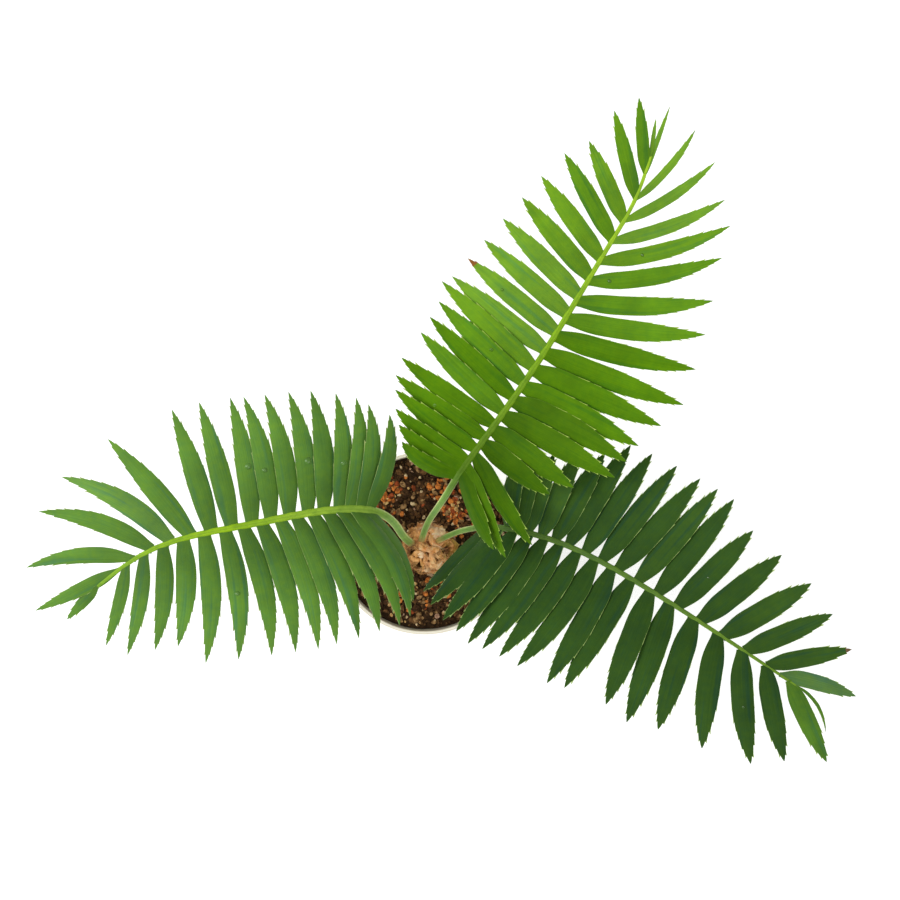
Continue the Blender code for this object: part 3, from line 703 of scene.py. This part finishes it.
def leaflet(draw, line, length, sign, look, shade):
    """One thin leaflet as a closed solid. Its grid runs from root to tip by rows and from
    the back edge to the forward edge by columns; the outermost column each side is the
    horny margin with its pale spines. The face is arched across as a parabola, and thick
    at the root. The slots are margin, spine, underside, the shades and withered."""
    slant = max(math.sin(math.radians(look["sweep"])), SLANTED_ROOT)
    count = max(3, round((LAST_TOOTH - FRONT_TEETH_FROM) * look["reach"] / TOOTH_SPACING))
    root = look["root"]
    front = toothed_edge(draw, look, FRONT_TEETH_FROM, count, root * slant)
    back = toothed_edge(draw, look, BACK_TEETH_FROM, count, (root - BACK_NARROWER) * slant)
    rows, columns = len(front[0]), INNER_COLUMNS + 2
    across = np.linspace(-1, 1, INNER_COLUMNS)
    share = (across + 1) / 2
    part, side = np.empty((2, rows, columns))
    part[:, 1:-1] = back[0][:, None] * (1 - share) + front[0][:, None] * share
    inner_back, inner_front = ((edge[3] - np.minimum(MARGIN, 0.3 * edge[3]))[:, None]
                               for edge in (back, front))
    side[:, 1:-1] = across * np.where(across < 0, inner_back, inner_front)
    part[:, 0], part[:, -1] = back[1], front[1]
    side[:, 0], side[:, -1] = -back[2], front[2]

    wave = draw.uniform(0, math.tau, 2)
    arch = -LEAFLET_CAMBER * (side / BROAD_HALF) ** 2
    ripple = (0.22 * np.sin(part * 9 + wave[0]) * side / BROAD_HALF
              + 0.12 * np.sin(part * 17 + wave[1]))
    above = arch + ripple * np.minimum(part * 6, 1.0)
    thick = LEAFLET_THICK * (1 - 0.5 * np.minimum(np.abs(side) / BROAD_HALF, 1.0) ** 2)
    thick = thick + CALLUS * np.exp(-part * look["reach"] / CALLUS_LENGTH)
    place = leaflet_place(line, length, sign, look)
    points = [place(part, side, above + thick / 2), place(part, side, above - thick / 2)]

    faces = thin_faces(rows, columns, sign < 0)
    row, column = np.divmod(np.arange(len(faces[0])), columns - 1)
    edge = (column == 0) | (column == columns - 2)
    step, steps = row - len(ROOT_ROWS), len(TOOTH_PHASES)
    margin = (step >= 0) & (step < steps * count) & (step % steps >= 1)
    slots = [np.where(edge, margin, shade), np.where(edge, margin, 2),
             np.zeros(len(faces[2]), int)]
    brown = row >= rows - 1 - look.get("withered", 0)
    slots[0][brown] = slots[1][brown] = look.get("last_slot", 0)
    uv = np.stack([(side / BROAD_HALF + 1) / 2,
                   np.clip(part, 0.001, 0.999) + draw.integers(0, 40)], -1)
    return Shape(points, faces, slots, [uv, uv])


def leaflets_of(side):
    """Every leaflet of a frond: its place along the line, its side's sign and its look."""
    spec = FRONDS[side]
    for (frond, row), keys in ROWS.items():
        for number in range(keys["count"] if frond == side else 0):
            look = {key: between(keys[key], number)
                    for key in ("sweep", "reach", "set", "bend", "width", "tone")}
            look |= {"root": between(spec["root"], number), "span": spec["span"],
                     "taper": spec["taper"], "drop": spec["drops"].get((row, number)),
                     "withered": spec["withered"].get((row, number), 0)}
            yield between(keys["place"], number), SIDE_SIGN[row], look


def drop(line, length, sign, look):
    """A drop of water that sits on a leaflet: a ball flattened to a low dome."""
    part, side, size = look["drop"]
    directions, faces = ball(2)
    along, across, out = (size * directions).T
    arch = -LEAFLET_CAMBER * (side / BROAD_HALF) ** 2
    place = leaflet_place(line, length, sign, look)
    points = place(part + along / look["reach"], side + across,
                   arch + LEAFLET_THICK / 2 + 0.4 * out)
    return Shape(points, [faces if sign > 0 else faces[:, ::-1]])


def leaf_finish(name, color, gloss, gradient):
    """A living leaflet: darker at its root and lighter towards its tip, with fine lengthwise
    veins, faint streaks along them, broad bluish bands that are painted shade and painted
    reflection, slow clouds and small mottling of lighter and darker green and a soft gloss.
    The second surface coordinate runs from 0 to 1 along a leaflet over a whole number that
    differs from one leaflet to the next."""
    mat = finish(name, color, 0.5, gloss)
    along = node_for(mat, "ShaderNodeMath", {0: surface(mat)[1]}, operation="FRACT").outputs[0]
    low, high = 1 - gradient, 1 + gradient
    base = ramp(mat, along, ((0.0, tinted(color, low)), (0.25, tinted(color, (low + 1) / 2)),
                             (0.7, tinted(color, high))))
    where = coordinates(mat)
    streaks = speckle(mat, coordinates(mat, "UV", (22.0, 1.4, 1.0)), 1.0, 2.0)
    # Painted shade and painted reflection: broad bands darken some leaflets and tint them
    # blue.
    painted_shade_bands = speckle(mat, coordinates(mat, "UV", (3.4, 0.9, 1.0)), 1.0, 1.0)
    base = mottled(mat, base,
                   (speckle(mat, where, 45.0), (0.86, 0.87, 0.95), (1.14, 1.12, 1.0)),
                   (streaks, (0.90, 0.92, 0.9), (1.16, 1.10, 1.1)),
                   (painted_shade_bands, (1.03, 1.02, 0.97), (0.74, 0.87, 1.6), 0.54, 0.68),
                   (speckle(mat, where, 230.0, 2.0), (0.90, 0.95, 1.12), (1.09, 1.04, 0.88)))
    flat = {"Vector": coordinates(mat, "UV"), "Scale": 5.8}
    veins = node_for(mat, "ShaderNodeTexWave", flat, wave_type="BANDS", bands_direction="X")
    wire(mat, Base_Color=base, Roughness=spread(mat, streaks, 0.42, 0.6),
         Specular_Tint=(0.75, 1.0, 0.45), Normal=bump(mat, veins.outputs["Fac"], 0.3, 0.1))
    return mat


# Ribs and stalks

def limb(spec, line, start, end, radius_at, attached):
    """A tapering limb along a line, closed at both ends. Its section is as broad as asked
    for its height, as a bell curve of the length back to nearly round along the blade,
    with a groove along the top; beside each attached leaflet it swells as a bell curve."""
    lengths = np.linspace(start, end, round((end - start) / LIMB_STEP) + 1)
    angles, radius = circle(LIMB_SIDES), radius_at(spec, line, lengths)[:, None]
    forward, rightward, upward = line.axes(lengths)
    groove = np.exp(-((np.degrees(angles) - 90) / 15) ** 2)
    reach = radius * (1 - 0.07 * np.sin(angles) ** 2 - 0.13 * groove)
    for sign, places in attached.items():
        near = np.exp(-((lengths[:, None] - np.array(places)) / 2.6) ** 2).sum(1)
        facing = np.maximum(np.cos(angles - math.radians(18 if sign > 0 else 162)), 0) ** 2
        reach = reach + 0.3 * near[:, None] * facing * (radius / RIB_START_RADIUS)
    closing = np.sqrt(1 - np.clip(1 - (end - lengths) / 1.5, 0, 1) ** 2)
    reach = reach * np.maximum(closing, 0.15)[:, None]
    bell = np.exp(-(np.maximum(lengths, 0.0) / spec["stalk"]) ** 2)
    broad = (RIB_BREADTH + (spec["broad"] - RIB_BREADTH) * bell)[:, None, None]
    sideways = broad * np.cos(angles)[:, None] * rightward[:, None]
    points = line.at(lengths)[:, None] + reach[..., None] * (
        sideways + np.sin(angles)[:, None] * upward[:, None])
    turn = np.abs((np.arange(LIMB_SIDES) / LIMB_SIDES + 0.25) % 1 - 0.5) * 2
    uv = np.stack(np.broadcast_arrays(turn, lengths[:, None] / SURFACE_LENGTH), -1)
    ends = np.array([[0, start], [0, end]]) / SURFACE_LENGTH
    return closed_rings(points, line.at(start), line.at(end), uv, ends)


def stalk_radius(spec, line, lengths):
    """The bare stalk's radius: an even taper to the blade, and at its foot a swelling that
    dies away exponentially."""
    even = STALK_BASE_RADIUS + (RIB_START_RADIUS - STALK_BASE_RADIUS) * lengths / spec["stalk"]
    foot = STALK_BASE_SWELL * np.exp(-np.maximum(lengths, 0.0) / STALK_SWELL_LENGTH)
    return spec["thick"] * even + foot


def rib_radius(spec, line, lengths):
    """The rib's radius along the blade: it stays thick, then tapers as a parabola."""
    part = np.maximum(lengths - spec["stalk"], 0.0) / (line.length - spec["stalk"])
    return spec["thick"] * (RIB_START_RADIUS + (RIB_END_RADIUS - RIB_START_RADIUS) * part ** 2)


def rib_finish(name, spec, length, rib_colors):
    """One finish for a stalk and its rib: a tan foot, grey-green bloom on the bare stalk
    that turns to the rib's own green at the blade and changes along it, with pale lines
    along the shoulders, which along the blade are a lighter copy of the rib's green as a
    painted highlight, and painted shade that darkens the groove. The surface coordinates run
    round from the top and along from the foot."""
    mat = finish(name, rib_colors[1], 0.5, 0.12)
    turn, along = surface(mat)
    blade, end = spec["stalk"] / SURFACE_LENGTH, length / SURFACE_LENGTH

    def lengthwise(bare, until, light):
        places = (0.015, 0.055, blade * until, blade * 1.12, (blade + end) / 2, end)
        blade_colors = [tinted(color, light) for color in rib_colors]
        return ramp(mat, along, [*zip(places, (STALK_FOOT_COLOR, bare, bare, *blade_colors))])

    # Pale shoulders: the stalk's own pale margins, and along the blade a lighter copy of the
    # rib's green as a painted highlight.
    pale_edge_and_highlight = ramp(mat, turn, [(place, (light,) * 3) for place, light in (
        (0.0, 0.0), (0.24, 0.0), (0.34, 0.9), (0.48, 0.7), (0.6, 0.0))])
    # Painted shade: the groove along the top is darkened.
    groove = ramp(mat, turn, ((0.0, (0.8, 0.82, 0.8)), (0.07, (0.9, 0.91, 0.9)),
                              (0.13, (1, 1, 1))))
    grain, clouds = (speckle(mat, coordinates(mat), size) for size in (210.0, 60.0))
    base = blend(mat, pale_edge_and_highlight, lengthwise(STALK_COLOR, 0.75, 1.0),
                 lengthwise(STALK_EDGE_COLOR, 0.8, 1.2))
    base = mottled(mat, blend(mat, 1.0, base, groove, "MULTIPLY"),
                   (clouds, (0.80, 0.84, 0.9), (1.14, 1.1, 1.0)),
                   (grain, (0.84, 0.87, 0.8), (1.16, 1.12, 1.1)))
    wire(mat, Base_Color=base, Roughness=spread(mat, grain, 0.42, 0.62),
         Normal=bump(mat, grain, 0.3, 0.2))
    return mat


def make_fronds(draw):
    """The three stalks, ribs and blades, with the water on them. Returns the lines that
    the stalks follow."""
    lines = []
    for side, spec in FRONDS.items():
        line = Line(spec["line"])
        lines.append(line)
        gloss, gradient, margin, spine, underside, brown = LEAF_LOOKS[side]
        shades = [leaf_finish(f"leaf_{side}_{i}", color, gloss, gradient)
                  for i, color in enumerate(LEAF_SHADES_AND_PAINTED_LIGHT[side])]
        materials = [clouded_finish("leaf_edge_" + side, margin),
                     clouded_finish("leaf_spine_" + side, spine),
                     leaf_finish("leaf_underside_" + side, underside, 0.05, 0.05),
                     *shades, clouded_finish("leaf_withered_" + side, brown)]
        shapes, attached, wet = [], {-1: [], 1: []}, []
        for length, sign, look in leaflets_of(side):
            look |= {"turn": draw.normal(0, TURN_SPREAD), "last_slot": 3 + len(shades)}
            # The tone picks a leaflet's shade, lighter or darker partly as painted light and
            # painted shade.
            tone = round(look["tone"] + draw.normal(0, TONE_SPREAD))
            shade = 3 + min(max(tone, 0), len(shades) - 1)
            shapes.append(leaflet(draw, line, length, sign, look, shade))
            attached[sign].append(length)
            if look["drop"]:
                wet.append(drop(line, length, sign, look))
        last = spec["last"] | {"root": 0.5, "span": spec["span"], "taper": spec["taper"]}
        shapes.append(leaflet(draw, line, line.length - LAST_SINK, 1, last, 3 + last["tone"]))
        blade = "frond_" + side
        piece("leaflets_" + side, shapes, materials, blade)
        water = clouded_finish("water_drop_" + side, LEAF_SHADES_AND_PAINTED_LIGHT[side][2], 0.22, 0.4)
        piece("drops_" + side, wet, [water])
        green = rib_finish("stalk_and_rib_" + side, spec, line.length, RIB_COLORS[side])
        rib = limb(spec, line, spec["stalk"] - 1.0, line.length, rib_radius, attached)
        piece("rib_" + side, [rib], [green], blade)
        stalk = limb(spec, line, -STALK_SINK, spec["stalk"], stalk_radius, {})
        piece("stalk_" + side, [stalk], [green], "petiole_" + side)
    return lines


# Caudex

def caudex_profile(part):
    """Radius and height of the caudex at a part of the way from crown to soil: powers of
    the sine and the cosine of a quarter turn, with a foot that flares as a parabola."""
    turn = part * math.pi / 2
    flare = CAUDEX_FLARE * np.maximum(0.0, (part - 0.75) / 0.25) ** 2
    height = SOIL_LEVEL + 0.3 + CAUDEX_HEIGHT * np.maximum(np.cos(turn), 0.0) ** 0.8
    return CAUDEX_RADIUS * np.sin(turn) ** 0.75 + flare, height


def caudex_skin(part, angle):
    """A point of the caudex's surface and its outward direction, square to the profile's
    slope there."""
    part, radial = np.asarray(part), polar(1.0, angle)
    radius, height = caudex_profile(part)
    after_radius, after_height = caudex_profile(part + 0.01)
    down, out = (height - after_height)[..., None], (after_radius - radius)[..., None]
    outward = unit(radial * np.maximum(down, 1e-6) + UP * np.maximum(out, 0.0))
    return CAUDEX_CENTRE + radial * radius[..., None] + height[..., None] * UP, outward


def caudex_tone(points):
    """How light the wool is at points, where the darkest tones are painted shade in hollows:
    two sizes of noise round the middle, drawn towards each mark as a bell curve."""
    tone = 0.66 + 0.32 * noise(points, 5.0, SEED + 8) + 0.22 * noise(points, 2.0, SEED + 9)
    for angle, part, reach, value in CAUDEX_MARKS:
        place, _ = caudex_skin(part, math.radians(angle))
        share = np.exp(-(np.linalg.norm(points - place, axis=-1) / reach) ** 2)
        tone = tone * (1 - share) + value * share
    return np.clip(tone, 0, 1)


def caudex_body():
    """The woolly bulb: rows of rings from crown to foot, parted into soft lobes, where old
    leaves stood, and roughened by noise that is drawn out from crown to foot as fibres. The
    lobes' centres lie in a golden spiral, a crease runs where the nearest two are as far
    away as each other, and the darkest places are hollows. The surface coordinates are how
    far a point is pushed out, which the finish turns into painted shade in the creases and
    hollows, and how light it is."""
    part, angle = np.meshgrid(np.linspace(0.02, 1.0, CAUDEX_RINGS), circle(CAUDEX_SIDES),
                              indexing="ij")
    skin, outward = caudex_skin(part, angle)
    k = np.arange(LOBES)
    centres, _ = caudex_skin(0.08 + 0.92 * (k / LOBES) ** 0.7, GOLDEN_ANGLE * k)
    warped = skin + 3.2 * np.stack([noise(skin, 4.5, SEED + i) for i in (5, 6, 7)], -1)
    away = np.sort(np.linalg.norm(warped[:, :, None] - centres, axis=-1), axis=-1)
    crease = np.exp(-((away[..., 1] - away[..., 0]) / 1.5) ** 2)
    tone = caudex_tone(skin)
    push = 1.9 * (1 - np.minimum(away[..., 0] / 5.5, 1) ** 2) - 1.6 * crease
    push = (push + 1.1 * noise(polar(CAUDEX_RADIUS, angle, 5 * part), 1.5, SEED + 10)
            + 1.0 * noise(skin, 2.6, SEED + 1))
    push = push + 0.5 * noise(skin, 1.1, SEED + 4) - 20.0 * np.maximum(0.30 - tone, 0)
    skin = skin + push[..., None] * outward
    skin[-1, :, 2] = CAUDEX_FOOT
    uv = np.stack([np.clip((push + 2.0) / 4.5, 0, 1), tone], -1)
    return closed_rings(skin, skin[0].mean(0), skin[-1].mean(0), uv, np.full((2, 2), 0.5))


def caudex_scales(draw, lines):
    """Pointed scales in the golden spiral, clear of the stalks and the dark hollows, and
    the few that stand out in the photograph."""
    shapes = []
    stalks = np.stack([line.at(np.arange(0, 24, 3.0)) for line in lines])
    for k in range(SCALES):
        part = 0.08 + 0.86 * (k / SCALES) ** 0.85
        angle = GOLDEN_ANGLE * k + 0.3
        skin, outward = caudex_skin(part, angle)
        if np.linalg.norm(stalks - skin - outward * 4, axis=-1).min() < 5.0:
            continue
        husk = int(np.searchsorted(HUSK_STEPS, caudex_tone(skin)))
        if husk == 0 or caudex_tone(skin + (UP - outward * outward[2]) * 4.0) < 0.35:
            continue
        shapes.append(scale(angle, part, draw.uniform(5.5, 9.5) * (1.15 - 0.4 * part),
                            draw.uniform(2.2, 3.6), draw.uniform(0.3, 0.8),
                            draw.uniform(-0.3, 0.3), 1.3, husk))
    return shapes + [scale(math.radians(angle), *look) for angle, *look in MARKED_SCALES]


def scale(angle, part, length, half, lean, curl, arch, husk):
    """One scale as a closed thin solid. It leaves the bulb and curls out or in as a
    parabola, and is broad at its foot and arched across."""
    rows, columns = 10, 9
    skin, outward = caudex_skin(part, angle)
    sideways = polar(1.0, angle + math.pi / 2)
    rising = unit(np.cross(outward, sideways) + outward * lean)
    run, across = np.linspace(0, 1, rows)[:, None], np.linspace(-1, 1, columns)
    centre = (skin - outward * 1.4
              + length * (run[..., None] * rising + (curl * run ** 2)[..., None] * outward))
    width = half * (1 - run ** 2.4) * (0.8 + 0.2 * np.sin(run * math.pi)) + 0.05
    face = unit(np.cross(sideways, rising))
    face = face * np.sign(face @ outward)
    above = arch * (1 - across ** 2) * (1 - 0.5 * run)
    top = centre + (across * width)[..., None] * sideways + above[..., None] * face
    faces = thin_faces(rows, columns, np.cross(rising, sideways) @ face < 0)
    return Shape([top, top - (0.3 + 0.6 * (1 - run))[..., None] * face], faces,
                 [np.full(len(f), husk) for f in faces])


def hairs(draw, roots, lean, aside, reaches):
    """Fine tapering hairs with three sides. Each follows a parabola from its root, out
    along its lean and bending aside."""
    rows, sides = 5, 3
    count = len(roots)
    reach, bent = draw.uniform(*reaches, count), draw.uniform(-0.2, 0.5, count)
    run = np.linspace(0, 1, rows)
    curve = (roots[:, None] + (reach[:, None] * run)[..., None] * lean[:, None]
             + (reach[:, None] * bent[:, None] * run ** 2)[..., None] * aside[:, None])
    other = unit(np.cross(lean, aside))
    first = unit(np.cross(other, lean))
    turn = circle(sides)[:, None, None]
    ring = np.cos(turn) * first + np.sin(turn) * other
    width = HAIR_RADIUS * (1 - 0.85 * run)
    points = curve[:, :, None] + width[:, None, None] * ring.transpose(1, 0, 2)[:, None]
    top = (rows - 1) * sides
    starts = np.arange(count)[:, None, None] * rows * sides
    return Shape(points, [(part + starts).reshape(-1, part.shape[1])[:, ::-1] for part in (
        grid_faces(rows, sides, wrap=True), np.array([[0, 2, 1], [top, top + 1, top + 2]]))])


def tufts(draw, part, angle):
    """Tufts of wool on the caudex at parts of the way down and angles round it. The hairs
    of a tuft start close together and lean the same way."""
    tufted, count = len(part), len(part) * TUFT_HAIRS
    part, angle = (np.repeat(value, TUFT_HAIRS) for value in (part, angle))
    part = np.clip(part + draw.normal(0, 0.035, count), 0.03, 0.99)
    skin, outward = caudex_skin(part, angle + draw.normal(0, 0.05, count) / part)
    roots = skin + draw.uniform(0.0, 1.4, count)[:, None] * outward
    aside = (np.repeat(draw.normal(size=(tufted, 3)), TUFT_HAIRS, axis=0)
             + draw.normal(0, 0.35, (count, 3)))
    aside = unit(aside - (aside * outward).sum(-1, keepdims=True) * outward)
    lean = unit(outward * draw.uniform(0.4, 1.0, count)[:, None] + 1.3 * aside)
    return hairs(draw, roots, lean, aside, (2.2, 4.6))


def collar(draw, line):
    """Short wool in a ring round a stalk's foot, leaning up along the stalk."""
    lengths = draw.uniform(-3.0, 3.5, COLLAR_HAIRS)
    turn = draw.uniform(0, math.tau, COLLAR_HAIRS)[:, None]
    forward, rightward, upward = line.axes(lengths)
    out = np.cos(turn) * rightward + np.sin(turn) * upward
    roots = line.at(lengths) + draw.uniform(2.2, 3.2, COLLAR_HAIRS)[:, None] * out
    lean = unit(forward + draw.uniform(-0.1, 0.8, COLLAR_HAIRS)[:, None] * out)
    return hairs(draw, roots, lean, out, (1.8, 4.4))


def make_caudex(draw, lines):
    """The caudex with its scales and its wool, whose tufts take the tones of their places."""
    skin = finish("caudex_tan", (0.60, 0.36, 0.17), 0.9, 0.08)
    pushed, tone = surface(skin)
    grain = speckle(skin, coordinates(skin), 260.0)
    # Painted shade: the skin is darkened where it is pushed in, in its creases and hollows.
    base, crease_shade = ramp(skin, tone, SKIN_TONES), ramp(skin, pushed, SKIN_CREASE_SHADE)
    base = blend(skin, 1.0, base, crease_shade, "MULTIPLY")
    wire(skin, Base_Color=mottled(skin, base, (grain, (0.72, 0.64, 0.5), (1.14, 1.12, 1.1))),
         Normal=bump(skin, grain, 0.8, 0.5))
    husks = [grain_finish("caudex_husk_" + name, color, other, 0.8, 150.0)
             for name, color, other in HUSKS]
    piece("caudex_body", [caudex_body()], [skin], "caudex", sharp=60.0)
    piece("caudex_scales", caudex_scales(draw, lines), husks)
    for name, color, count, low, high in WOOL:
        part, angle = np.sqrt(draw.uniform(0.01, 0.94, 900)), draw.uniform(0, math.tau, 900)
        tone = caudex_tone(caudex_skin(part, angle)[0])
        chosen = np.flatnonzero((tone >= low) & (tone <= high))[:count]
        shapes = [tufts(draw, part[chosen], angle[chosen])]
        if name == "peach":
            shapes += [collar(draw, line) for line in lines]
        mat = grain_finish("caudex_wool_" + name, color, tinted(color, 0.72), 0.95, 220.0)
        piece("caudex_wool_" + name, shapes, [mat])


# Soil

def soil_height(points):
    """The soil's uneven surface: two sizes of noise over a gentle rise to the wall."""
    flat = points * np.array([1, 1, 0])
    return (SOIL_LEVEL + 1.1 * noise(flat, 9.0, SEED + 2) + 0.7 * noise(flat, 3.4, SEED + 3)
            + 1.5 * (np.linalg.norm(flat, axis=-1) / SOIL_RADIUS) ** 4)


def soil_bed():
    """The soil that fills the pot, as one closed turned surface with relief on its top."""
    foot = pot_radius(SOIL_UNDERSIDE) - 3.4
    radius = np.append(np.linspace(1.0, SOIL_RADIUS, SOIL_RINGS),
                       [SOIL_RADIUS - 0.1, 69.0, foot, foot - 3])
    height = np.append(np.full(SOIL_RINGS, SOIL_LEVEL),
                       [114.0, 111.0, SOIL_UNDERSIDE + 4, SOIL_UNDERSIDE])
    points = polar(radius[:, None], circle(SOIL_SIDES), height[:, None])
    points[:SOIL_RINGS, :, 2] = soil_height(points[:SOIL_RINGS])
    return closed_rings(points, points[0].mean(0), [0, 0, SOIL_UNDERSIDE])


def lumps(draw, centres, sizes, tilt, subdivisions, planes=9):
    """Broken grains: a ball's directions are each pulled in to the nearest of a few random
    planes round its centre, then stretched by three sizes, tipped over and put in place."""
    directions, faces = ball(subdivisions)
    count = len(centres)
    normals = unit(draw.normal(size=(count, planes, 3)))
    depth = draw.uniform(0.55, 0.95, (count, planes))
    facing = np.maximum(np.einsum("vd,npd->nvp", directions, normals), 0.08)
    radius = np.minimum((depth[:, None] / facing).min(-1), 1.0)
    points = directions * radius[..., None] * sizes[:, None]
    turn, lean = draw.uniform(0, math.tau, count), draw.normal(0, tilt, count)
    axis = polar(1.0, draw.uniform(0, math.tau, count))[:, None]
    points = rotated(rotated(points, UP, turn), axis, lean)
    starts = np.arange(count)[:, None, None] * len(directions)
    return Shape(points + centres[:, None], [(faces + starts).reshape(-1, 3)])


def scattered(draw, sizes, sink, clusters):
    """Centres of grains on the soil: thickly round a few places, or spread evenly over the
    round bed if there are none, clear of the caudex and of the wall."""
    count = len(sizes)
    if clusters:
        chosen = np.array(clusters)[draw.integers(0, len(clusters), count)]
        flat = chosen[:, :2] + draw.normal(size=(count, 2)) * chosen[:, 2:]
        centres = np.column_stack([flat, np.zeros(count)])
    else:
        radius = SOIL_RADIUS * np.sqrt(draw.uniform(0, 1, count))
        centres = polar(radius, draw.uniform(0, math.tau, count))
    keep = np.linalg.norm(centres, axis=-1) + sizes.max(-1) < SOIL_RADIUS - 0.4
    keep &= np.linalg.norm(centres - CAUDEX_CENTRE, axis=-1) > CAUDEX_RADIUS - 2
    centres, sizes = centres[keep], sizes[keep]
    centres[:, 2] = soil_height(centres) + sizes[:, 2] * (1 - 2 * sink)
    return centres, sizes


def make_soil(draw):
    """The soil bed with its bark, its crumbs and its grit of four colours."""
    bed = grain_finish("soil_dark", (0.022, 0.010, 0.004), (0.045, 0.022, 0.008), 0.95, 300.0)
    piece("soil_bed", [soil_bed()], [bed], "soil", sharp=60.0)
    for name, count, size, tilt, sink, color, other in GRAINS:
        sizes = np.array(size) * draw.uniform(0.55, 1.35, (count, 1))
        sizes = sizes * draw.uniform(0.8, 1.2, (count, 3))
        centres, sizes = scattered(draw, sizes, sink, ORANGE_PATCHES if name in PATCHY else ())
        grains = lumps(draw, centres, sizes, tilt, 1 if name == "crumbs" else 2)
        mat = grain_finish("soil_" + name, color, other, 0.85, 420.0)
        piece("soil_" + name, [grains], [mat], sharp=25.0)


# Pot

def rounded(corners, steps=5):
    """A profile whose corners, given as radius, height and rounding, are turned into
    quadratic curves that start and end the rounding's length away from the corner."""
    corners = np.array(corners, float)
    places = [corners[:1, :2]]
    t = np.linspace(0, 1, steps)[:, None]
    for before, corner, after in zip(corners[:, :2], corners[1:], corners[2:, :2]):
        corner, rounding = corner[:2], corner[2]
        first, last = (corner + unit(other - corner) * rounding for other in (before, after))
        places.append((1 - t) ** 2 * first + 2 * t * (1 - t) * corner + t ** 2 * last)
    return np.vstack([*places, corners[-1:, :2]])


def turned(profile, sides, centre=(0.0, 0.0)):
    """A closed turned solid whose profile runs from the axis at the top, down its outer
    side and back to the axis."""
    radius, height = profile[1:-1].T
    points = polar(radius[:, None], circle(sides), height[:, None]) + [*centre, 0.0]
    return closed_rings(points, [*centre, profile[0, 1]], [*centre, profile[-1, 1]])


def pot_radius(height):
    """The radius of the tapered wall's outer side at a height, on a straight line from its
    foot to its top."""
    return POT_FOOT_RADIUS + (POT_TOP_RADIUS - POT_FOOT_RADIUS) / POT_HEIGHT * height


def pot_profile():
    """The moulded pot in section: floor, thin wall, the wide band with its inner step, the
    rounded lip, and the outer side down to a flat foot with a shallow ring."""
    inner, band, band_foot = POT_RIM_RADIUS - POT_LIP, POT_BAND_RADIUS, POT_BAND_FOOT
    top, foot = POT_HEIGHT, POT_FOOT_RADIUS
    return rounded([
        (0, POT_FLOOR, 0), (pot_radius(POT_FLOOR) - POT_WALL - 0.6, POT_FLOOR, 3),
        (pot_radius(band_foot - 2) - POT_WALL, band_foot - 2, 1),
        (band - POT_WALL - 0.8, band_foot + 1.2, 1), (inner, top - 2.4, 1),
        (inner + 0.3, top, 0.9), (POT_RIM_RADIUS, top, 1.1), (POT_RIM_RADIUS, top - 3.4, 0.9),
        (band + 0.1, top - 4, 0.7), (band - 0.4, band_foot, 0.7),
        (pot_radius(band_foot - 0.6), band_foot - 0.8, 0.6), (pot_radius(1.5), 1.5, 1),
        (foot - 1.6, 0, 1), (foot - 5, 0, 0.4), (foot - 5.4, 0.7, 0.3), (foot - 9, 0.7, 0.3),
        (foot - 9.4, 0, 0.4), (0, 0, 0)])


def drilled(obj, centres, radius, low, high):
    """Cuts round holes through a mesh with one Boolean each and applies it."""
    profile = np.array([(0, high), (radius, high), (radius, low), (0, low)], float)
    for centre in centres:
        drill = placed("drill", joined("drill", [turned(profile, 32, centre)]))
        boolean = obj.modifiers.new("drill", "BOOLEAN")
        boolean.operation, boolean.object = "DIFFERENCE", drill
        bpy.context.view_layer.objects.active = obj
        bpy.ops.object.modifier_apply(modifier=boolean.name)
        bpy.data.objects.remove(drill)


def make_pot():
    """The pot with its drain holes, of smooth white moulded plastic with a faint satin
    unevenness and slight dust."""
    white = finish("white_satin", POT_COLOR, 0.32, 0.5)
    where = coordinates(white)
    clouds, grain = speckle(white, where, 14.0), speckle(white, where, 900.0, 2.0)
    wire(white, Base_Color=two_tone(white, clouds, POT_COLOR, tinted(POT_COLOR, 0.95)),
         Roughness=spread(white, clouds, 0.26, 0.4), Normal=bump(white, grain, 0.08, 0.1))
    obj = piece("pot_shell", [turned(pot_profile(), POT_SIDES)], [white], "pot")
    turn = circle(DRAIN_HOLES) + math.pi / DRAIN_HOLES
    centres = polar(DRAIN_CIRCLE, turn)[:, :2]
    drilled(obj, centres.tolist(), DRAIN_RADIUS, -2.0, POT_FLOOR + 2.0)
    smoothed(obj.data)


# Studio

def make_studio():
    """A plain pale floor, soft white light all round with three broad lamps, and a
    camera straight above, as in the photograph."""
    scene = bpy.context.scene
    corners = 6000.0 * np.array([(-1, -1, 0), (1, -1, 0), (1, 1, 0), (-1, 1, 0)])
    floor = placed("floor", joined("floor", [Shape(corners, [np.array([[0, 1, 2, 3]])])]))
    white = finish("floor_white", (0.90, 0.90, 0.90), 0.8, 0.1)
    wire(white, Emission_Color=(1, 1, 1), Emission_Strength=FLOOR_GLOW)
    floor.data.materials.append(white)

    scene.world = world = bpy.data.worlds.new("studio")
    world.use_nodes = True
    light = {"Color": (1, 1, 1), "Strength": WORLD_LIGHT}
    join(world, world.node_tree.nodes["Background"], light)
    for name, place, target, size, power in LAMPS:
        data = bpy.data.lights.new(name, "AREA")
        data.shape, data.size, data.energy = "DISK", size, power
        lamp = placed(name, data)
        lamp.location = place
        aim = unit(np.array(target) - np.array(place))
        lamp.rotation_euler = (math.acos(-aim[2]), 0.0, math.atan2(aim[0], -aim[1]) + math.pi)

    data = bpy.data.cameras.new("camera")
    data.sensor_width, data.lens = 36.0, CAMERA_LENS
    scene.camera = placed("camera", data)
    scene.camera.location = CAMERA_PLACE
    scene.view_settings.view_transform = "Standard"


draw = np.random.default_rng(SEED)
stalks = make_fronds(draw)
make_caudex(draw, stalks)
make_soil(draw)
make_pot()
make_studio()
